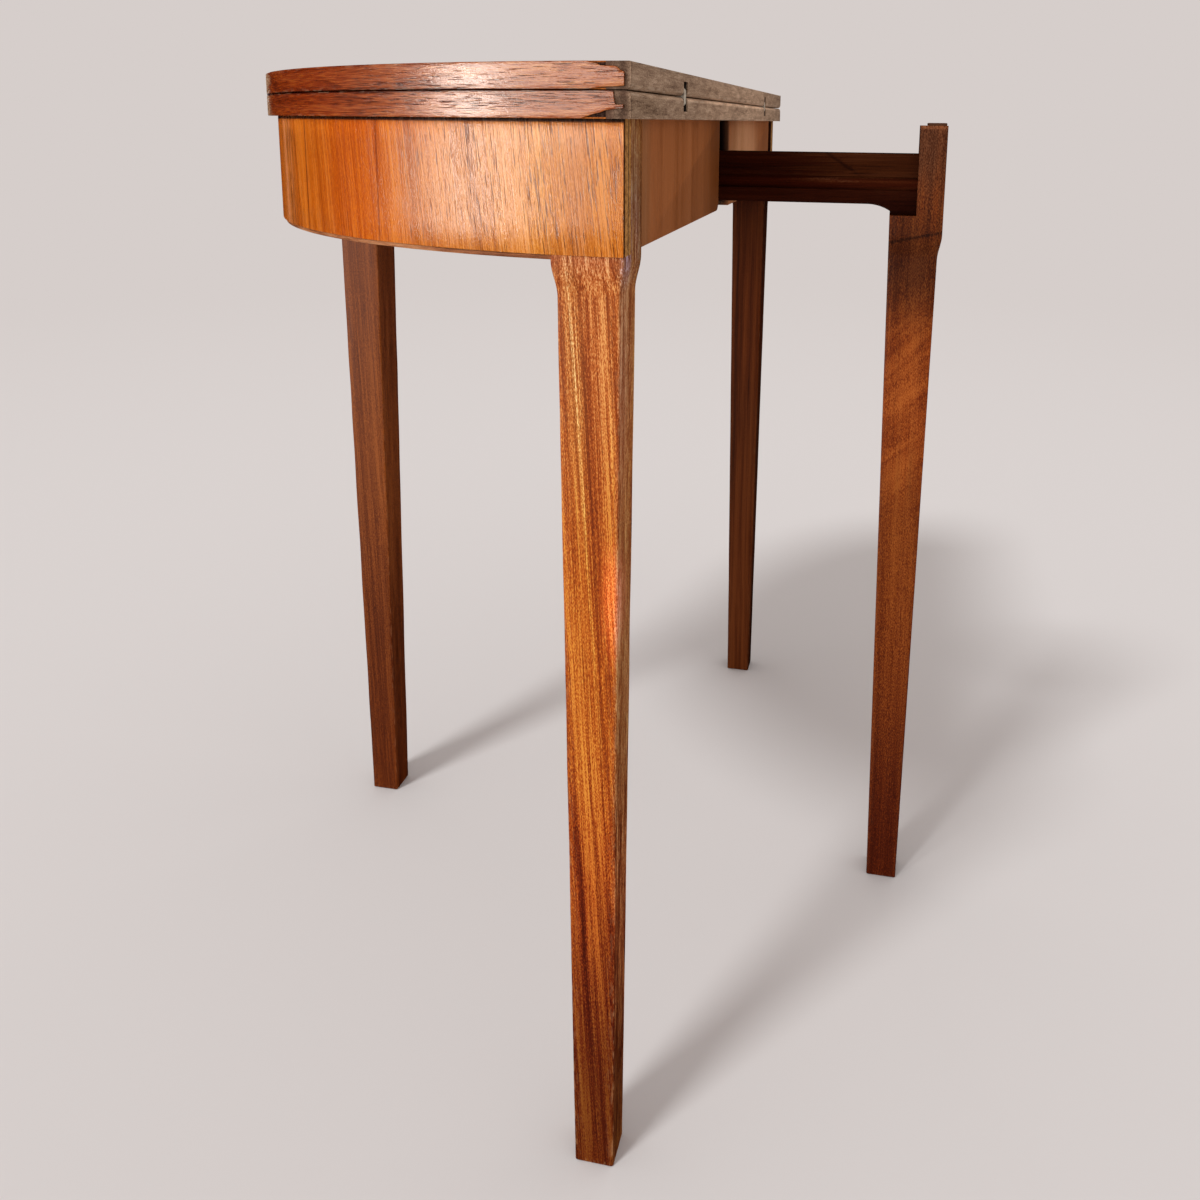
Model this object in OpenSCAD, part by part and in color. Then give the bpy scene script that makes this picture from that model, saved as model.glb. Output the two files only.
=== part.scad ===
// Half-round side table that opens to a full round one.
// A folded double top turns over on two link hinges let into the straight edges,
// and rests on a back leg that slides out of the frame on a grooved rail.
// X runs along the straight back, -Y is the curved front, +Z is up.
// The origin is on the floor, in the middle of the table's outline with the back leg out.

/* [Top] */
// Radius of each half-round leaf
leaf_r = 386; // [380:1:420]
// Thickness of each leaf, its face veneers included
leaf_t = 15; // [13:0.5:20]
// Gap between the folded leaves, and between their straight edges when open
leaf_gap = 0.6; // [0.4:0.1:1]
// Thickness of the veneer on each face of a leaf
face_t = 0.8; // [0.5:0.1:1.2]
// Thickness of the band round the curved edge of a leaf
band_t = 1.5; // [1:0.1:2.5]
// Width of the solid strip along the straight edge of a leaf
strip_w = 14; // [13:0.5:24]
// How far the straight edges of the leaves stand behind the frame
leaf_over = 7; // [4:0.5:12]

/* [Link hinges] */
// Distance of each hinge from the middle of the straight edge
hinge_x = 228; // [120:1:280]
// Depth of each hinge pin below the meeting face and in from the straight edge
hinge_inset = 3.2; // [3:0.1:3.6]
// Diameter of a hinge pin
hinge_pin_d = 2.5; // [2:0.1:3]
// Thickness of a hinge link, along its pins
link_w = 6.4; // [4:0.2:8]
// Radius of the round ends of a hinge link
link_end_r = 2.6; // [2.2:0.1:2.8]
// Width of a hinge cup, along its pin
cup_w = 12.4; // [11:0.2:16]
// Depth of a hinge cup, from the straight edge into the leaf
cup_l = 11; // [10:0.5:12]
// Height of a hinge cup
cup_h = 9.2; // [8:0.2:10.5]
// How far a hinge cup sits in behind the straight edge
cup_in = 0.8; // [0.5:0.1:1.2]
// Shank diameter of a hinge screw
hinge_screw_d = 3; // [2.5:0.1:3.4]
// Length of a hinge screw
hinge_screw_l = 18; // [14:1:24]

/* [Frame] */
// Height of the underside of the lower leaf
frame_top = 706; // [680:1:740]
// Height of the curved apron
apron_h = 77; // [70:1:90]
// How far the curved edges of the leaves stand out past the apron
leaf_reveal = 13; // [8:1:20]
// Thickness of the teak face veneer of the apron
apron_veneer_t = 0.8; // [0.6:0.1:1.2]
// Thickness of the outer ply of the apron
outer_ply_t = 3.6; // [3:0.1:4]
// Thickness of the middle ply of the apron
middle_ply_t = 6.4; // [6:0.1:7]
// Thickness of the inner ply of the apron
inner_ply_t = 2.2; // [1.6:0.1:3]
// Thickness of the backing ply of the apron
backing_ply_t = 5; // [4:0.1:6]
// Height of the strip under the curved apron
lipping_h = 3; // [2:0.5:5]
// Width of the strip under the curved apron
lipping_w = 12; // [8:0.5:14]
// How far the strip under the apron sits in from its face
lipping_in = 2; // [1:0.5:4]
// Thickness of the flat back panels
back_t = 16; // [14:0.5:19]
// How far the back panels end above the foot of the apron
back_lift = 1; // [1:0.5:4]
// Radius of the lower panel corners beside the slot
back_corner_r = 8; // [4:1:14]
// Side of the glued triangular corner blocks
block_w = 28; // [20:1:28]
// Height of the corner blocks
block_h = 40; // [30:1:44]

/* [Fixed legs] */
// Width of a corner leg at its shoulder
leg_w = 44; // [42:1:48]
// Width of every leg at its foot
foot_w = 27; // [22:1:32]
// How far each shoulder swells out from the straight taper
flare_d = 3; // [2:0.2:6]
// Height over which a shoulder swells out
flare_h = 22; // [16:1:30]
// Height of the straight block above the swell of a corner leg
shoulder_h = 3; // [2:1:10]
// How far a corner leg sits in from the face of the apron
leg_in = 2.5; // [1:0.5:4]
// Width of the front leg at its top
front_leg_w = 38; // [34:1:42]
// How far the front leg stands to the left of the middle
front_leg_off = 12; // [8:1:16]
// How far the front leg sits in from the face of the apron
front_leg_in = 0; // [0:0.5:4]

/* [Sliding leg] */
// How far the slide stands to the right of the middle
slide_x = 12; // [8:1:16]
// How far the leg slides out
slide_out = 189; // [150:1:195]
// Width of the slot between the back panels
slot_w = 49; // [48:0.5:54]
// Gap between the pushed-in tongue and the runners
tongue_clear = 2.5; // [2:0.5:5]
// Thickness of the tongue that the leg's outer half becomes
tongue_t = 22; // [20:0.5:24]
// Height of the straight block above the swell of the sliding leg
slide_shoulder_h = 15; // [10:1:20]
// Gap between the tongue and the underside of the lower leaf
tongue_gap = 2.5; // [2:0.1:4]
// Gap between the pad on the tongue and the underside of the lower leaf
pad_gap = 0.3; // [0.2:0.1:0.6]
// Width of the slide rail
rail_w = 26; // [24:1:30]
// Height of the slide rail
rail_h = 42.5; // [38:0.5:44]
// Height of the rail's lower edge above the notch in the leg
rail_lift = 8.5; // [7:0.5:10]
// Gap between the pushed-in rail and the front leg
rail_clear = 16; // [8:0.5:20]
// Height of the grooves in the rail's sides
groove_h = 11; // [8:0.5:14]
// Depth of the grooves in the rail's sides
groove_d = 6; // [4:0.5:6]
// Height of the groove's middle above the rail's lower edge
groove_z = 17.5; // [15:0.5:21]
// Length of the curved bracket under the rail at the leg
bracket_l = 19; // [12:1:24]
// Radius of the curved bracket
bracket_r = 36; // [30:1:50]

/* [Slide guides] */
// Thickness of the two guide cheeks inside the frame
cheek_t = 16; // [12:1:18]
// How far the cheeks stand back from the edges of the slot
cheek_set = 0.5; // [0.3:0.1:2]
// Height of the guide cheeks
cheek_h = 72; // [68:1:75]
// Length of the runner strips fixed to the cheeks
runner_l = 205; // [160:1:230]
// Running gap between the rail and what guides it
slide_gap = 0.3; // [0.2:0.1:0.5]
// Gap between a runner's edge and the bottom of its groove
runner_gap = 0.5; // [0.3:0.1:1]
// Diameter of the stop peg in the rail
peg_d = 10; // [8:0.5:12]
// Distance of the stop peg from the inner end of the rail
peg_in = 7; // [5:0.5:10]
// Height of the stop peg above the rail
peg_h = 20; // [16:1:22]
// Length of the stop block along the rail
stop_l = 20; // [15:1:40]
// Height of the stop block
stop_h = 16; // [14:1:20]

/* [Fixings] */
// Diameter of the wooden dowels
dowel_d = 8; // [6:0.5:9]
// Length of the wooden dowels
dowel_l = 30; // [24:1:34]
// Shank diameter of the wood screws
screw_d = 4; // [3:0.5:5]
// Head diameter of the wood screws
head_d = 8; // [7:0.5:9]
// Depth to which the wood screws enter what they hold
screw_bite = 8; // [6:0.5:9]
// Height of the lower leg screws above the foot of the apron
screw_up = 12; // [10:1:13]
// Depth of the upper leg screws below the top of the apron
screw_down = 8; // [7:1:10]
// Distance of the frame's dowels from its upper and lower edges
dowel_in = 20; // [17:1:24]
// Width of the blocks that hold the top to the frame
fix_w = 40; // [30:1:50]
// Depth of the blocks that hold the top to the frame
fix_d = 25; // [20:1:30]
// Height of the blocks that hold the top to the frame
fix_h = 20; // [16:1:24]
// Distance of the back fixing blocks' middles from the corner legs
fix_from_leg = 136; // [100:1:180]
// Angle of the front fixing blocks, from the middle of the front
fix_angle = 48; // [35:1:55]

/* [Hidden] */
$fn = 96;

// Where the table's middle lies: from the front of the leaves to the face of the leg when it is out
back_y = (leaf_r - leaf_over - slide_out) / 2;
// Levels
leaf_face_z = frame_top + leaf_t;
fold_z = leaf_face_z + leaf_gap / 2;
apron_z = frame_top - apron_h;
panel_z = apron_z + back_lift;
lipping_z = apron_z - lipping_h;
cheek_z = frame_top - cheek_h;
rail_z = apron_z + rail_lift;
rail_top = rail_z + rail_h;
groove_mid = rail_z + groove_z;
tongue_z = frame_top - tongue_gap;
apron_r = leaf_r - leaf_reveal;
// Radii, from the outside in
leaf_core_r = leaf_r - band_t;
outer_ply_r = apron_r - apron_veneer_t;
middle_ply_r = outer_ply_r - outer_ply_t;
inner_ply_r = middle_ply_r - middle_ply_t;
backing_ply_r = inner_ply_r - inner_ply_t;
frame_in_r = backing_ply_r - backing_ply_t;
// Faces of the legs
leg_out_x = apron_r - leg_in;
leg_in_x = leg_out_x - leg_w;
front_leg_x = -front_leg_off;
front_out_y = -(apron_r - front_leg_in);
front_in_y = front_out_y + front_leg_w;
// The slide: the inner face of the tongue when the leg is out, and the rail's inner end
tongue_y = slide_out - tongue_t;
rail_in_y = front_in_y + rail_clear + slide_out;
cheek_in = slot_w / 2 + cheek_set;
// The pins of the hinges, and what they clear
pin_y = leaf_over - hinge_inset;
pin_z = leaf_face_z - hinge_inset;
pin_fit = 0.05;
cup_clear = 0.2;
link_clear = 0.4;
cup_top = leaf_face_z - link_clear;
cup_back_y = leaf_over - cup_in - cup_l;
slot_back_y = pin_y - link_end_r - link_clear;
hinge_screw_z = cup_top - cup_h / 2;
hinge_head_d = hinge_screw_d * 1.8;
hinge_head_l = hinge_screw_d / 2;
// Where the fixings go
leg_screw_y = -leg_w * 0.72;
leg_screw_z = [apron_z + screw_up, frame_top - screw_down];
dowel_z = [apron_z + dowel_in, frame_top - dowel_in];
panel_dowel_y = -back_t / 2;
front_screw_x = front_leg_x + front_leg_w / 4;
fix_x = leg_in_x - fix_from_leg;
leg_screw_l = frame_in_r - leg_in_x + screw_bite;
front_screw_l = frame_in_r + front_in_y + screw_bite;
head_l = head_d / 3;
peg_y = rail_in_y + peg_in + peg_d / 2;
stop_y = peg_y + peg_d / 2 + slide_gap;
runner_y = -tongue_t - tongue_clear;
pad_l = tongue_t * 0.68;
pad_in = 1;
// How far a cut runs past what it cuts
over = 1;

// Helpers

// Everything is drawn with the back of the frame at Y = 0, then moved to the middle
module placed() translate([0, back_y, 0]) children();

// The left twin of a piece drawn on the right
module twin() mirror([1, 0, 0]) children();

// The upper twin of a piece drawn on the lower leaf
module upper() translate([0, 0, fold_z]) mirror([0, 0, 1]) translate([0, 0, -fold_z]) children();

// A round bar along X from x0, centred on y and z
module bar_x(x0, y, z, d, l) translate([x0, y, z]) rotate([0, 90, 0]) cylinder(d = d, h = l);

// A round bar along Y from y0, centred on x and z
module bar_y(x, y0, z, d, l) translate([x, y0, z]) rotate([-90, 0, 0]) cylinder(d = d, h = l);

// A half disc of radius r, curved to the front, from height z0 up by h, flat at y0
module half_disc(r, y0, z0, h) {
  intersection() {
    translate([0, y0, z0]) cylinder(r = r, h = h, $fn = 180);
    translate([-r - over, y0 - r - over, z0 - over]) cube([2 * r + 2 * over, r + over, h + 2 * over]);
  }
}

// A half ring from radius r1 out to r0
module half_ring(r0, r1, y0, z0, h) {
  difference() {
    half_disc(r0, y0, z0, h);
    translate([0, y0, z0 - over]) cylinder(r = r1, h = h + 2 * over, $fn = 180);
  }
}

// What is cut off the meeting arris of the straight edge, down to a radius about the pins
module arris_cut(keep_r) {
  w = 2 * (leaf_r + 2 * over);
  translate([0, pin_y, pin_z]) difference() {
    translate([-w / 2, 0, 0]) cube([w, hinge_inset + over, hinge_inset + over]);
    rotate([0, 90, 0]) cylinder(r = keep_r, h = w + 2 * over, center = true, $fn = 64);
  }
}

// A countersunk screw along +Y with its head's face at the origin.
// Its hole runs out past the face by out.
module screw(d, head, head_l, l, out) {
  rotate([-90, 0, 0]) {
    cylinder(d1 = head, d2 = d, h = head_l, $fn = 32);
    cylinder(d = d, h = l, $fn = 32);
    if (out > 0) translate([0, 0, -out]) cylinder(d = head, h = out, $fn = 32);
  }
}

// Top

module hinge_pair() {
  translate([hinge_x, 0, 0]) children();
  translate([-hinge_x, 0, 0]) children();
}

module hinge_screw(out = 0) translate([0, slot_back_y, hinge_screw_z]) mirror([0, 1, 0])
  screw(hinge_screw_d, hinge_head_d, hinge_head_l, hinge_screw_l, out);

module fixing_screw_places() {
  for (s = [-1, 1]) {
    translate([s * fix_x, -back_t - fix_d / 2, frame_top - fix_h]) children();
    rotate([0, 0, s * fix_angle]) translate([0, -frame_in_r + fix_d / 2, frame_top - fix_h]) children();
  }
}

module fixing_screw(out = 0) rotate([90, 0, 0]) screw(screw_d, head_d, head_l, fix_h + screw_bite, out);

module stop_screw_places() for (s = [-1, 1])
  translate([slide_x + s * slot_w / 4, stop_y + stop_l / 2, frame_top - stop_h]) children();

module stop_screw(out = 0) rotate([90, 0, 0]) screw(screw_d, head_d, head_l, stop_h + screw_bite, out);

module leaf_core() {
  difference() {
    half_disc(leaf_core_r, leaf_over, frame_top + face_t, leaf_t - 2 * face_t);
    translate([-leaf_r, leaf_over - strip_w, frame_top - over])
      cube([2 * leaf_r, strip_w + over, leaf_t + 2 * over]);
    hinge_pair() hinge_screw(over);
  }
}

module leaf_band() {
  difference() {
    half_ring(leaf_r, leaf_core_r, leaf_over, frame_top, leaf_t);
    arris_cut(hinge_inset);
  }
}

module leaf_strip() {
  difference() {
    half_disc(leaf_core_r, leaf_over, frame_top, leaf_t);
    translate([-leaf_r, leaf_over - strip_w - leaf_r, frame_top - over])
      cube([2 * leaf_r, leaf_r, leaf_t + 2 * over]);
    arris_cut(hinge_inset);
    hinge_pair() {
      translate([-cup_w / 2, cup_back_y, cup_top - cup_h]) cube([cup_w, strip_w, leaf_t]);
      hinge_screw(over);
    }
  }
}

module leaf_veneer(z0) {
  difference() {
    half_disc(leaf_core_r, leaf_over, z0, face_t);
    translate([-leaf_r, leaf_over - strip_w, z0 - over])
      cube([2 * leaf_r, strip_w + over, face_t + 2 * over]);
  }
}

module lower_leaf() color("#8a5a38") placed() difference() {
  leaf_core();
  fixing_screw_places() fixing_screw(over);
  stop_screw_places() stop_screw(over);
}
module lower_leaf_edge_band() color("#7d3517") placed() leaf_band();
module lower_leaf_hinge_strip() color("#7b6754") placed() leaf_strip();
module lower_leaf_top_veneer() color("#9c5a30") placed() leaf_veneer(leaf_face_z - face_t);
module lower_leaf_under_veneer() color("#9c6238") placed() difference() {
  leaf_veneer(frame_top);
  fixing_screw_places() fixing_screw(over);
  stop_screw_places() stop_screw(over);
}
module upper_leaf() color("#8a5a38") placed() upper() leaf_core();
module upper_leaf_edge_band() color("#823a1a") placed() upper() leaf_band();
module upper_leaf_hinge_strip() color("#7f6a56") placed() upper() leaf_strip();
module upper_leaf_inner_veneer() color("#9c5a30") placed() upper() leaf_veneer(leaf_face_z - face_t);
module upper_leaf_outer_veneer() color("#9c5a30") placed() upper() leaf_veneer(frame_top);

// Hinges

// A cup let into the straight edge: two cheeks and a back wall, open to the edge and to the face
module hinge_cup() {
  difference() {
    translate([-cup_w / 2, cup_back_y, cup_top - cup_h]) cube([cup_w, cup_l, cup_h]);
    translate([-link_w / 2 - link_clear, slot_back_y, cup_top - cup_h - over])
      cube([link_w + 2 * link_clear, cup_l + over, cup_h + 2 * over]);
    arris_cut(hinge_inset - cup_clear);
    bar_x(-cup_w, pin_y, pin_z, hinge_pin_d, 2 * cup_w);
    hinge_screw(over);
  }
}

// A flat link with a pin at each end, one in each leaf
module hinge_link() {
  difference() {
    union() {
      for (z = [pin_z, 2 * fold_z - pin_z]) bar_x(-link_w / 2, pin_y, z, 2 * link_end_r, link_w);
      translate([-link_w / 2, pin_y - link_end_r, pin_z])
        cube([link_w, 2 * link_end_r, 2 * (fold_z - pin_z)]);
    }
    for (z = [pin_z, 2 * fold_z - pin_z])
      bar_x(-link_w, pin_y, z, hinge_pin_d + 2 * pin_fit, 2 * link_w);
  }
}

module hinge_pins() hinge_pair() bar_x(-cup_w / 2, pin_y, pin_z, hinge_pin_d, cup_w);

module right_lower_hinge_cup() color("#4a4038") placed() translate([hinge_x, 0, 0]) hinge_cup();
module left_lower_hinge_cup() color("#4a4038") placed() translate([-hinge_x, 0, 0]) hinge_cup();
module right_upper_hinge_cup() color("#4a4038") placed() upper() translate([hinge_x, 0, 0]) hinge_cup();
module left_upper_hinge_cup() color("#4a4038") placed() upper() translate([-hinge_x, 0, 0]) hinge_cup();
module right_hinge_link() color("#cfc4b0") placed() translate([hinge_x, 0, 0]) hinge_link();
module left_hinge_link() color("#cfc4b0") placed() translate([-hinge_x, 0, 0]) hinge_link();
module lower_hinge_pins() color("#b8ad98") placed() hinge_pins();
module upper_hinge_pins() color("#b8ad98") placed() upper() hinge_pins();
module lower_hinge_screws() color("#b0a070") placed() hinge_pair() hinge_screw();
module upper_hinge_screws() color("#b0a070") placed() upper() hinge_pair() hinge_screw();

// Apron and back

// Screws from the inside of each leg's head through it into the apron
module all_leg_screws(out = 0) {
  for (z = leg_screw_z) {
    for (s = [-1, 1]) translate([s * leg_in_x, leg_screw_y, z]) rotate([0, 0, -90 * s])
      screw(screw_d, head_d, head_l, leg_screw_l, out);
    translate([front_screw_x, front_in_y, z]) rotate([0, 0, 180])
      screw(screw_d, head_d, head_l, front_screw_l, out);
  }
}

module apron_layer(r0, t) difference() {
  half_ring(r0, r0 - t, 0, apron_z, apron_h);
  all_leg_screws(over);
}

module apron_face_veneer() color("#b5622c") placed() half_ring(apron_r, outer_ply_r, 0, apron_z, apron_h);
module apron_outer_ply() color("#5a3316") placed() apron_layer(outer_ply_r, outer_ply_t);
module apron_middle_ply() color("#a87e4e") placed() apron_layer(middle_ply_r, middle_ply_t);
module apron_inner_ply() color("#7a5530") placed() apron_layer(inner_ply_r, inner_ply_t);
module apron_backing_ply() color("#9a7648") placed() apron_layer(backing_ply_r, backing_ply_t);

// The strip under the apron runs between the two corner legs
module apron_lipping() color("#b08050") placed() difference() {
  half_ring(apron_r - lipping_in, apron_r - lipping_in - lipping_w, 0, lipping_z, lipping_h);
  translate([-apron_r, -leg_w, lipping_z - over]) cube([2 * apron_r, leg_w + over, lipping_h + 2 * over]);
}

module panel_dowel_places() for (s = [-1, 1], z = dowel_z)
  bar_x(s * leg_in_x - dowel_l / 2, panel_dowel_y, z, dowel_d, dowel_l);

module cheek_dowel_places() for (s = [-1, 1], z = dowel_z)
  bar_y(slide_x + s * (cheek_in + cheek_t / 2), -back_t - dowel_l * 2 / 3, z, dowel_d, dowel_l);

// A flat panel from the slot to the head of a corner leg, its lower corner at the slot rounded
module back_panel(x0, x1, slot_side) {
  w = x1 - x0;
  corner_x = slot_side < 0 ? x0 : x1;
  difference() {
    translate([x0, -back_t, panel_z]) cube([w, back_t, frame_top - panel_z]);
    difference() {
      translate([corner_x - back_corner_r, -back_t - over, panel_z - over])
        cube([2 * back_corner_r, back_t + 2 * over, back_corner_r + over]);
      bar_y(corner_x - slot_side * back_corner_r, -back_t - 2 * over, panel_z + back_corner_r,
        2 * back_corner_r, back_t + 4 * over);
      translate([slot_side < 0 ? corner_x + back_corner_r : corner_x - 3 * back_corner_r,
        -back_t - 2 * over, panel_z - 2 * over])
        cube([2 * back_corner_r, back_t + 4 * over, back_corner_r + 4 * over]);
    }
    panel_dowel_places();
    cheek_dowel_places();
  }
}

module right_back_panel() color("#a9663a") placed() back_panel(slide_x + slot_w / 2, leg_in_x, -1);
module left_back_panel() color("#a9663a") placed() back_panel(-leg_in_x, slide_x - slot_w / 2, 1);

module corner_block() translate([leg_in_x, -back_t, (apron_z + frame_top - block_h) / 2])
  linear_extrude(height = block_h) polygon([[0, 0], [-block_w, 0], [0, -block_w]]);
module right_corner_block() color("#b58f5c") placed() corner_block();
module left_corner_block() color("#b58f5c") placed() twin() corner_block();

module panel_dowels() color("#c49a66") placed() panel_dowel_places();
module cheek_dowels() color("#c49a66") placed() cheek_dowel_places();
module leg_screws() color("#a89a70") placed() all_leg_screws();

// Legs

// One edge of a leg seen from the side, from the foot up: half the width at each height.
// It tapers straight, then swells out by swell and ends in a straight block of height block.
function leg_edge(w, top, swell, block) = concat([[foot_w / 2, 0]],
  swell > 0
    ? [for (i = [0 : 12]) [w / 2 - swell * (1 + cos(15 * i)) / 2, top - block - flare_h * (1 - i / 12)]]
    : [[w / 2, top]]);

function flipped(points) = [for (i = [len(points) - 1 : -1 : 0]) [-points[i][0], points[i][1]]];

// A leg's outline from two edges, with a head up to head_z
module leg_outline(w, head_z, a, b)
  polygon(concat(a, [[w / 2, head_z], [-w / 2, head_z]], flipped(b)));

// A square leg that tapers on all four sides, centred on the origin.
// The edge towards -Y swells out only as far as swell_in.
module leg_post(w, top, head_z, block, swell, swell_in) {
  edge = leg_edge(w, top, swell, block);
  edge_in = leg_edge(w, top, swell_in, block);
  intersection() {
    rotate([90, 0, 0]) linear_extrude(height = w + 2 * over, center = true)
      leg_outline(w, head_z, edge, edge);
    rotate([90, 0, 90]) linear_extrude(height = w + 2 * over, center = true)
      leg_outline(w, head_z, edge, edge_in);
  }
}

// What is cut from a leg's head so that it stands inside the curved apron.
// The circle is turned by half a facet, so that no facet ends on the back of the leg.
module apron_rebate(z0) difference() {
  translate([-leaf_r, -leaf_r, z0]) cube([2 * leaf_r, leaf_r + over, frame_top - z0 + over]);
  translate([0, 0, z0 - over]) rotate([0, 0, 1])
    cylinder(r = frame_in_r, h = frame_top - z0 + 3 * over, $fn = 180);
}

module corner_leg() difference() {
  translate([leg_out_x - leg_w / 2, -leg_w / 2, 0])
    leg_post(leg_w, apron_z, frame_top, shoulder_h, flare_d, flare_d);
  apron_rebate(apron_z);
  panel_dowel_places();
  all_leg_screws(over);
}

module right_corner_leg() color("#8f4f25") placed() corner_leg();
module left_corner_leg() color("#6a3518") placed() twin() corner_leg();

module front_leg() color("#7f441f") placed() difference() {
  translate([front_leg_x, front_out_y + front_leg_w / 2, 0])
    leg_post(front_leg_w, lipping_z, frame_top, 0, 0, 0);
  apron_rebate(lipping_z);
  all_leg_screws(over);
}

// Slide guides

// A long upright cheek beside the rail, from the back panel to the front of the frame
module guide_cheek(s) difference() {
  intersection() {
    translate([slide_x + s * (cheek_in + cheek_t / 2) - cheek_t / 2, -apron_r, cheek_z])
      cube([cheek_t, apron_r - back_t, cheek_h]);
    translate([0, 0, cheek_z - over]) cylinder(r = frame_in_r, h = cheek_h + 2 * over, $fn = 180);
  }
  translate([front_leg_x - front_leg_w / 2, -apron_r, cheek_z - over])
    cube([front_leg_w, apron_r + front_in_y, cheek_h + 2 * over]);
  cheek_dowel_places();
  runner_screw_places(s) runner_screw(over);
}

module runner(s) {
  x0 = rail_w / 2 - groove_d + runner_gap;
  h = groove_h - 2 * slide_gap;
  difference() {
    translate([slide_x, 0, 0]) mirror([s < 0 ? 1 : 0, 0, 0])
      translate([x0, runner_y - runner_l, groove_mid - h / 2]) cube([cheek_in - x0, runner_l, h]);
    runner_screw_places(s) runner_screw(over);
  }
}

// Three screws a side, from the outside of the cheek into the runner
module runner_screw_places(s) for (k = [0.15, 0.5, 0.85])
  translate([slide_x + s * (cheek_in + cheek_t), runner_y - k * runner_l, groove_mid])
    rotate([0, 0, 90 * s]) children();

module runner_screw(out = 0) screw(screw_d, head_d, head_l, cheek_t + screw_bite, out);

module right_guide_cheek() color("#a5784a") placed() guide_cheek(1);
module left_guide_cheek() color("#a5784a") placed() guide_cheek(-1);
module right_runner() color("#8a6038") placed() runner(1);
module left_runner() color("#8a6038") placed() runner(-1);
module runner_screws() color("#a89a70") placed()
  for (s = [-1, 1]) runner_screw_places(s) runner_screw();

module stop_block() color("#a5784a") placed() difference() {
  translate([slide_x - cheek_in, stop_y, frame_top - stop_h]) cube([2 * cheek_in, stop_l, stop_h]);
  stop_screw_places() stop_screw(over);
}
module stop_screws() color("#a89a70") placed() stop_screw_places() stop_screw();

// Fixing blocks between the frame and the lower leaf

module back_fixing_block() difference() {
  translate([fix_x - fix_w / 2, -back_t - fix_d, frame_top - fix_h]) cube([fix_w, fix_d, fix_h]);
  fixing_screw_places() fixing_screw(over);
}

// The front blocks are shaped to the curve of the apron
module front_fixing_block() difference() {
  intersection() {
    rotate([0, 0, fix_angle]) translate([-fix_w / 2, -frame_in_r, frame_top - fix_h])
      cube([fix_w, fix_d, fix_h]);
    translate([0, 0, frame_top - fix_h - over]) cylinder(r = frame_in_r, h = fix_h + 2 * over, $fn = 180);
  }
  fixing_screw_places() fixing_screw(over);
}

module right_back_fixing_block() color("#b58f5c") placed() back_fixing_block();
module left_back_fixing_block() color("#b58f5c") placed() twin() back_fixing_block();
module right_front_fixing_block() color("#b58f5c") placed() front_fixing_block();
module left_front_fixing_block() color("#b58f5c") placed() twin() front_fixing_block();
module fixing_screws() color("#a89a70") placed() fixing_screw_places() fixing_screw();

// The sliding leg, drawn pulled out

module rail_dowel_places() for (z = [rail_z + rail_h * 0.12, rail_top - rail_h * 0.2])
  bar_y(slide_x, tongue_y - dowel_l * 0.55, z, dowel_d, dowel_l);

// The leg's inner half stops at a notch for the rail, and its outer half goes on up as a tongue
module sliding_leg() color("#7a3a1c") placed() difference() {
  translate([slide_x, slide_out - leg_w / 2, 0])
    leg_post(leg_w, apron_z, tongue_z, slide_shoulder_h, flare_d, 0);
  translate([slide_x - leg_w, slide_out - leg_w - over, apron_z])
    cube([2 * leg_w, leg_w - tongue_t + over, apron_h]);
  rail_dowel_places();
}

// The rail, with a groove in each side and a curved bracket where it meets the leg
module slide_rail() color("#2e1610") placed() {
  bracket_y = slide_out - leg_w - bracket_l;
  drop = bracket_r - sqrt(bracket_r * bracket_r - bracket_l * bracket_l);
  difference() {
    translate([slide_x - rail_w / 2, 0, 0]) rotate([90, 0, 90]) linear_extrude(height = rail_w) polygon([
      [rail_in_y, rail_z], [bracket_y, rail_z], [bracket_y, rail_z - drop],
      [slide_out - leg_w, rail_z - drop], [slide_out - leg_w, apron_z], [tongue_y, apron_z],
      [tongue_y, rail_top], [rail_in_y, rail_top]]);
    bar_x(slide_x - rail_w, bracket_y, rail_z - bracket_r, 2 * bracket_r, 2 * rail_w);
    for (s = [-1, 1])
      translate([slide_x + s * rail_w / 2 - groove_d, rail_in_y - over, groove_mid - groove_h / 2])
        cube([2 * groove_d, tongue_y - rail_in_y + 2 * over, groove_h]);
    rail_dowel_places();
    translate([slide_x, peg_y, rail_z + rail_h / 4]) cylinder(d = peg_d, h = rail_h);
  }
}

module rail_dowels() color("#c49a66") placed() rail_dowel_places();
module stop_peg() color("#c49a66") placed()
  translate([slide_x, peg_y, rail_z + rail_h / 4]) cylinder(d = peg_d, h = rail_h * 3 / 4 + peg_h);

// The pad covers the outer part of the tongue's top
module leaf_rest_pad() color("#33251c") placed()
  translate([slide_x - leg_w / 2 + pad_in, slide_out - pad_l - pad_in, tongue_z])
    cube([leg_w - 2 * pad_in, pad_l, tongue_gap - pad_gap]);

lower_leaf();
lower_leaf_edge_band();
lower_leaf_hinge_strip();
lower_leaf_top_veneer();
lower_leaf_under_veneer();
upper_leaf();
upper_leaf_edge_band();
upper_leaf_hinge_strip();
upper_leaf_inner_veneer();
upper_leaf_outer_veneer();
right_lower_hinge_cup();
left_lower_hinge_cup();
right_upper_hinge_cup();
left_upper_hinge_cup();
right_hinge_link();
left_hinge_link();
lower_hinge_pins();
upper_hinge_pins();
lower_hinge_screws();
upper_hinge_screws();
apron_face_veneer();
apron_outer_ply();
apron_middle_ply();
apron_inner_ply();
apron_backing_ply();
apron_lipping();
right_back_panel();
left_back_panel();
right_corner_leg();
left_corner_leg();
front_leg();
right_corner_block();
left_corner_block();
panel_dowels();
leg_screws();
right_guide_cheek();
left_guide_cheek();
right_runner();
left_runner();
cheek_dowels();
runner_screws();
stop_block();
stop_screws();
right_back_fixing_block();
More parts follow.
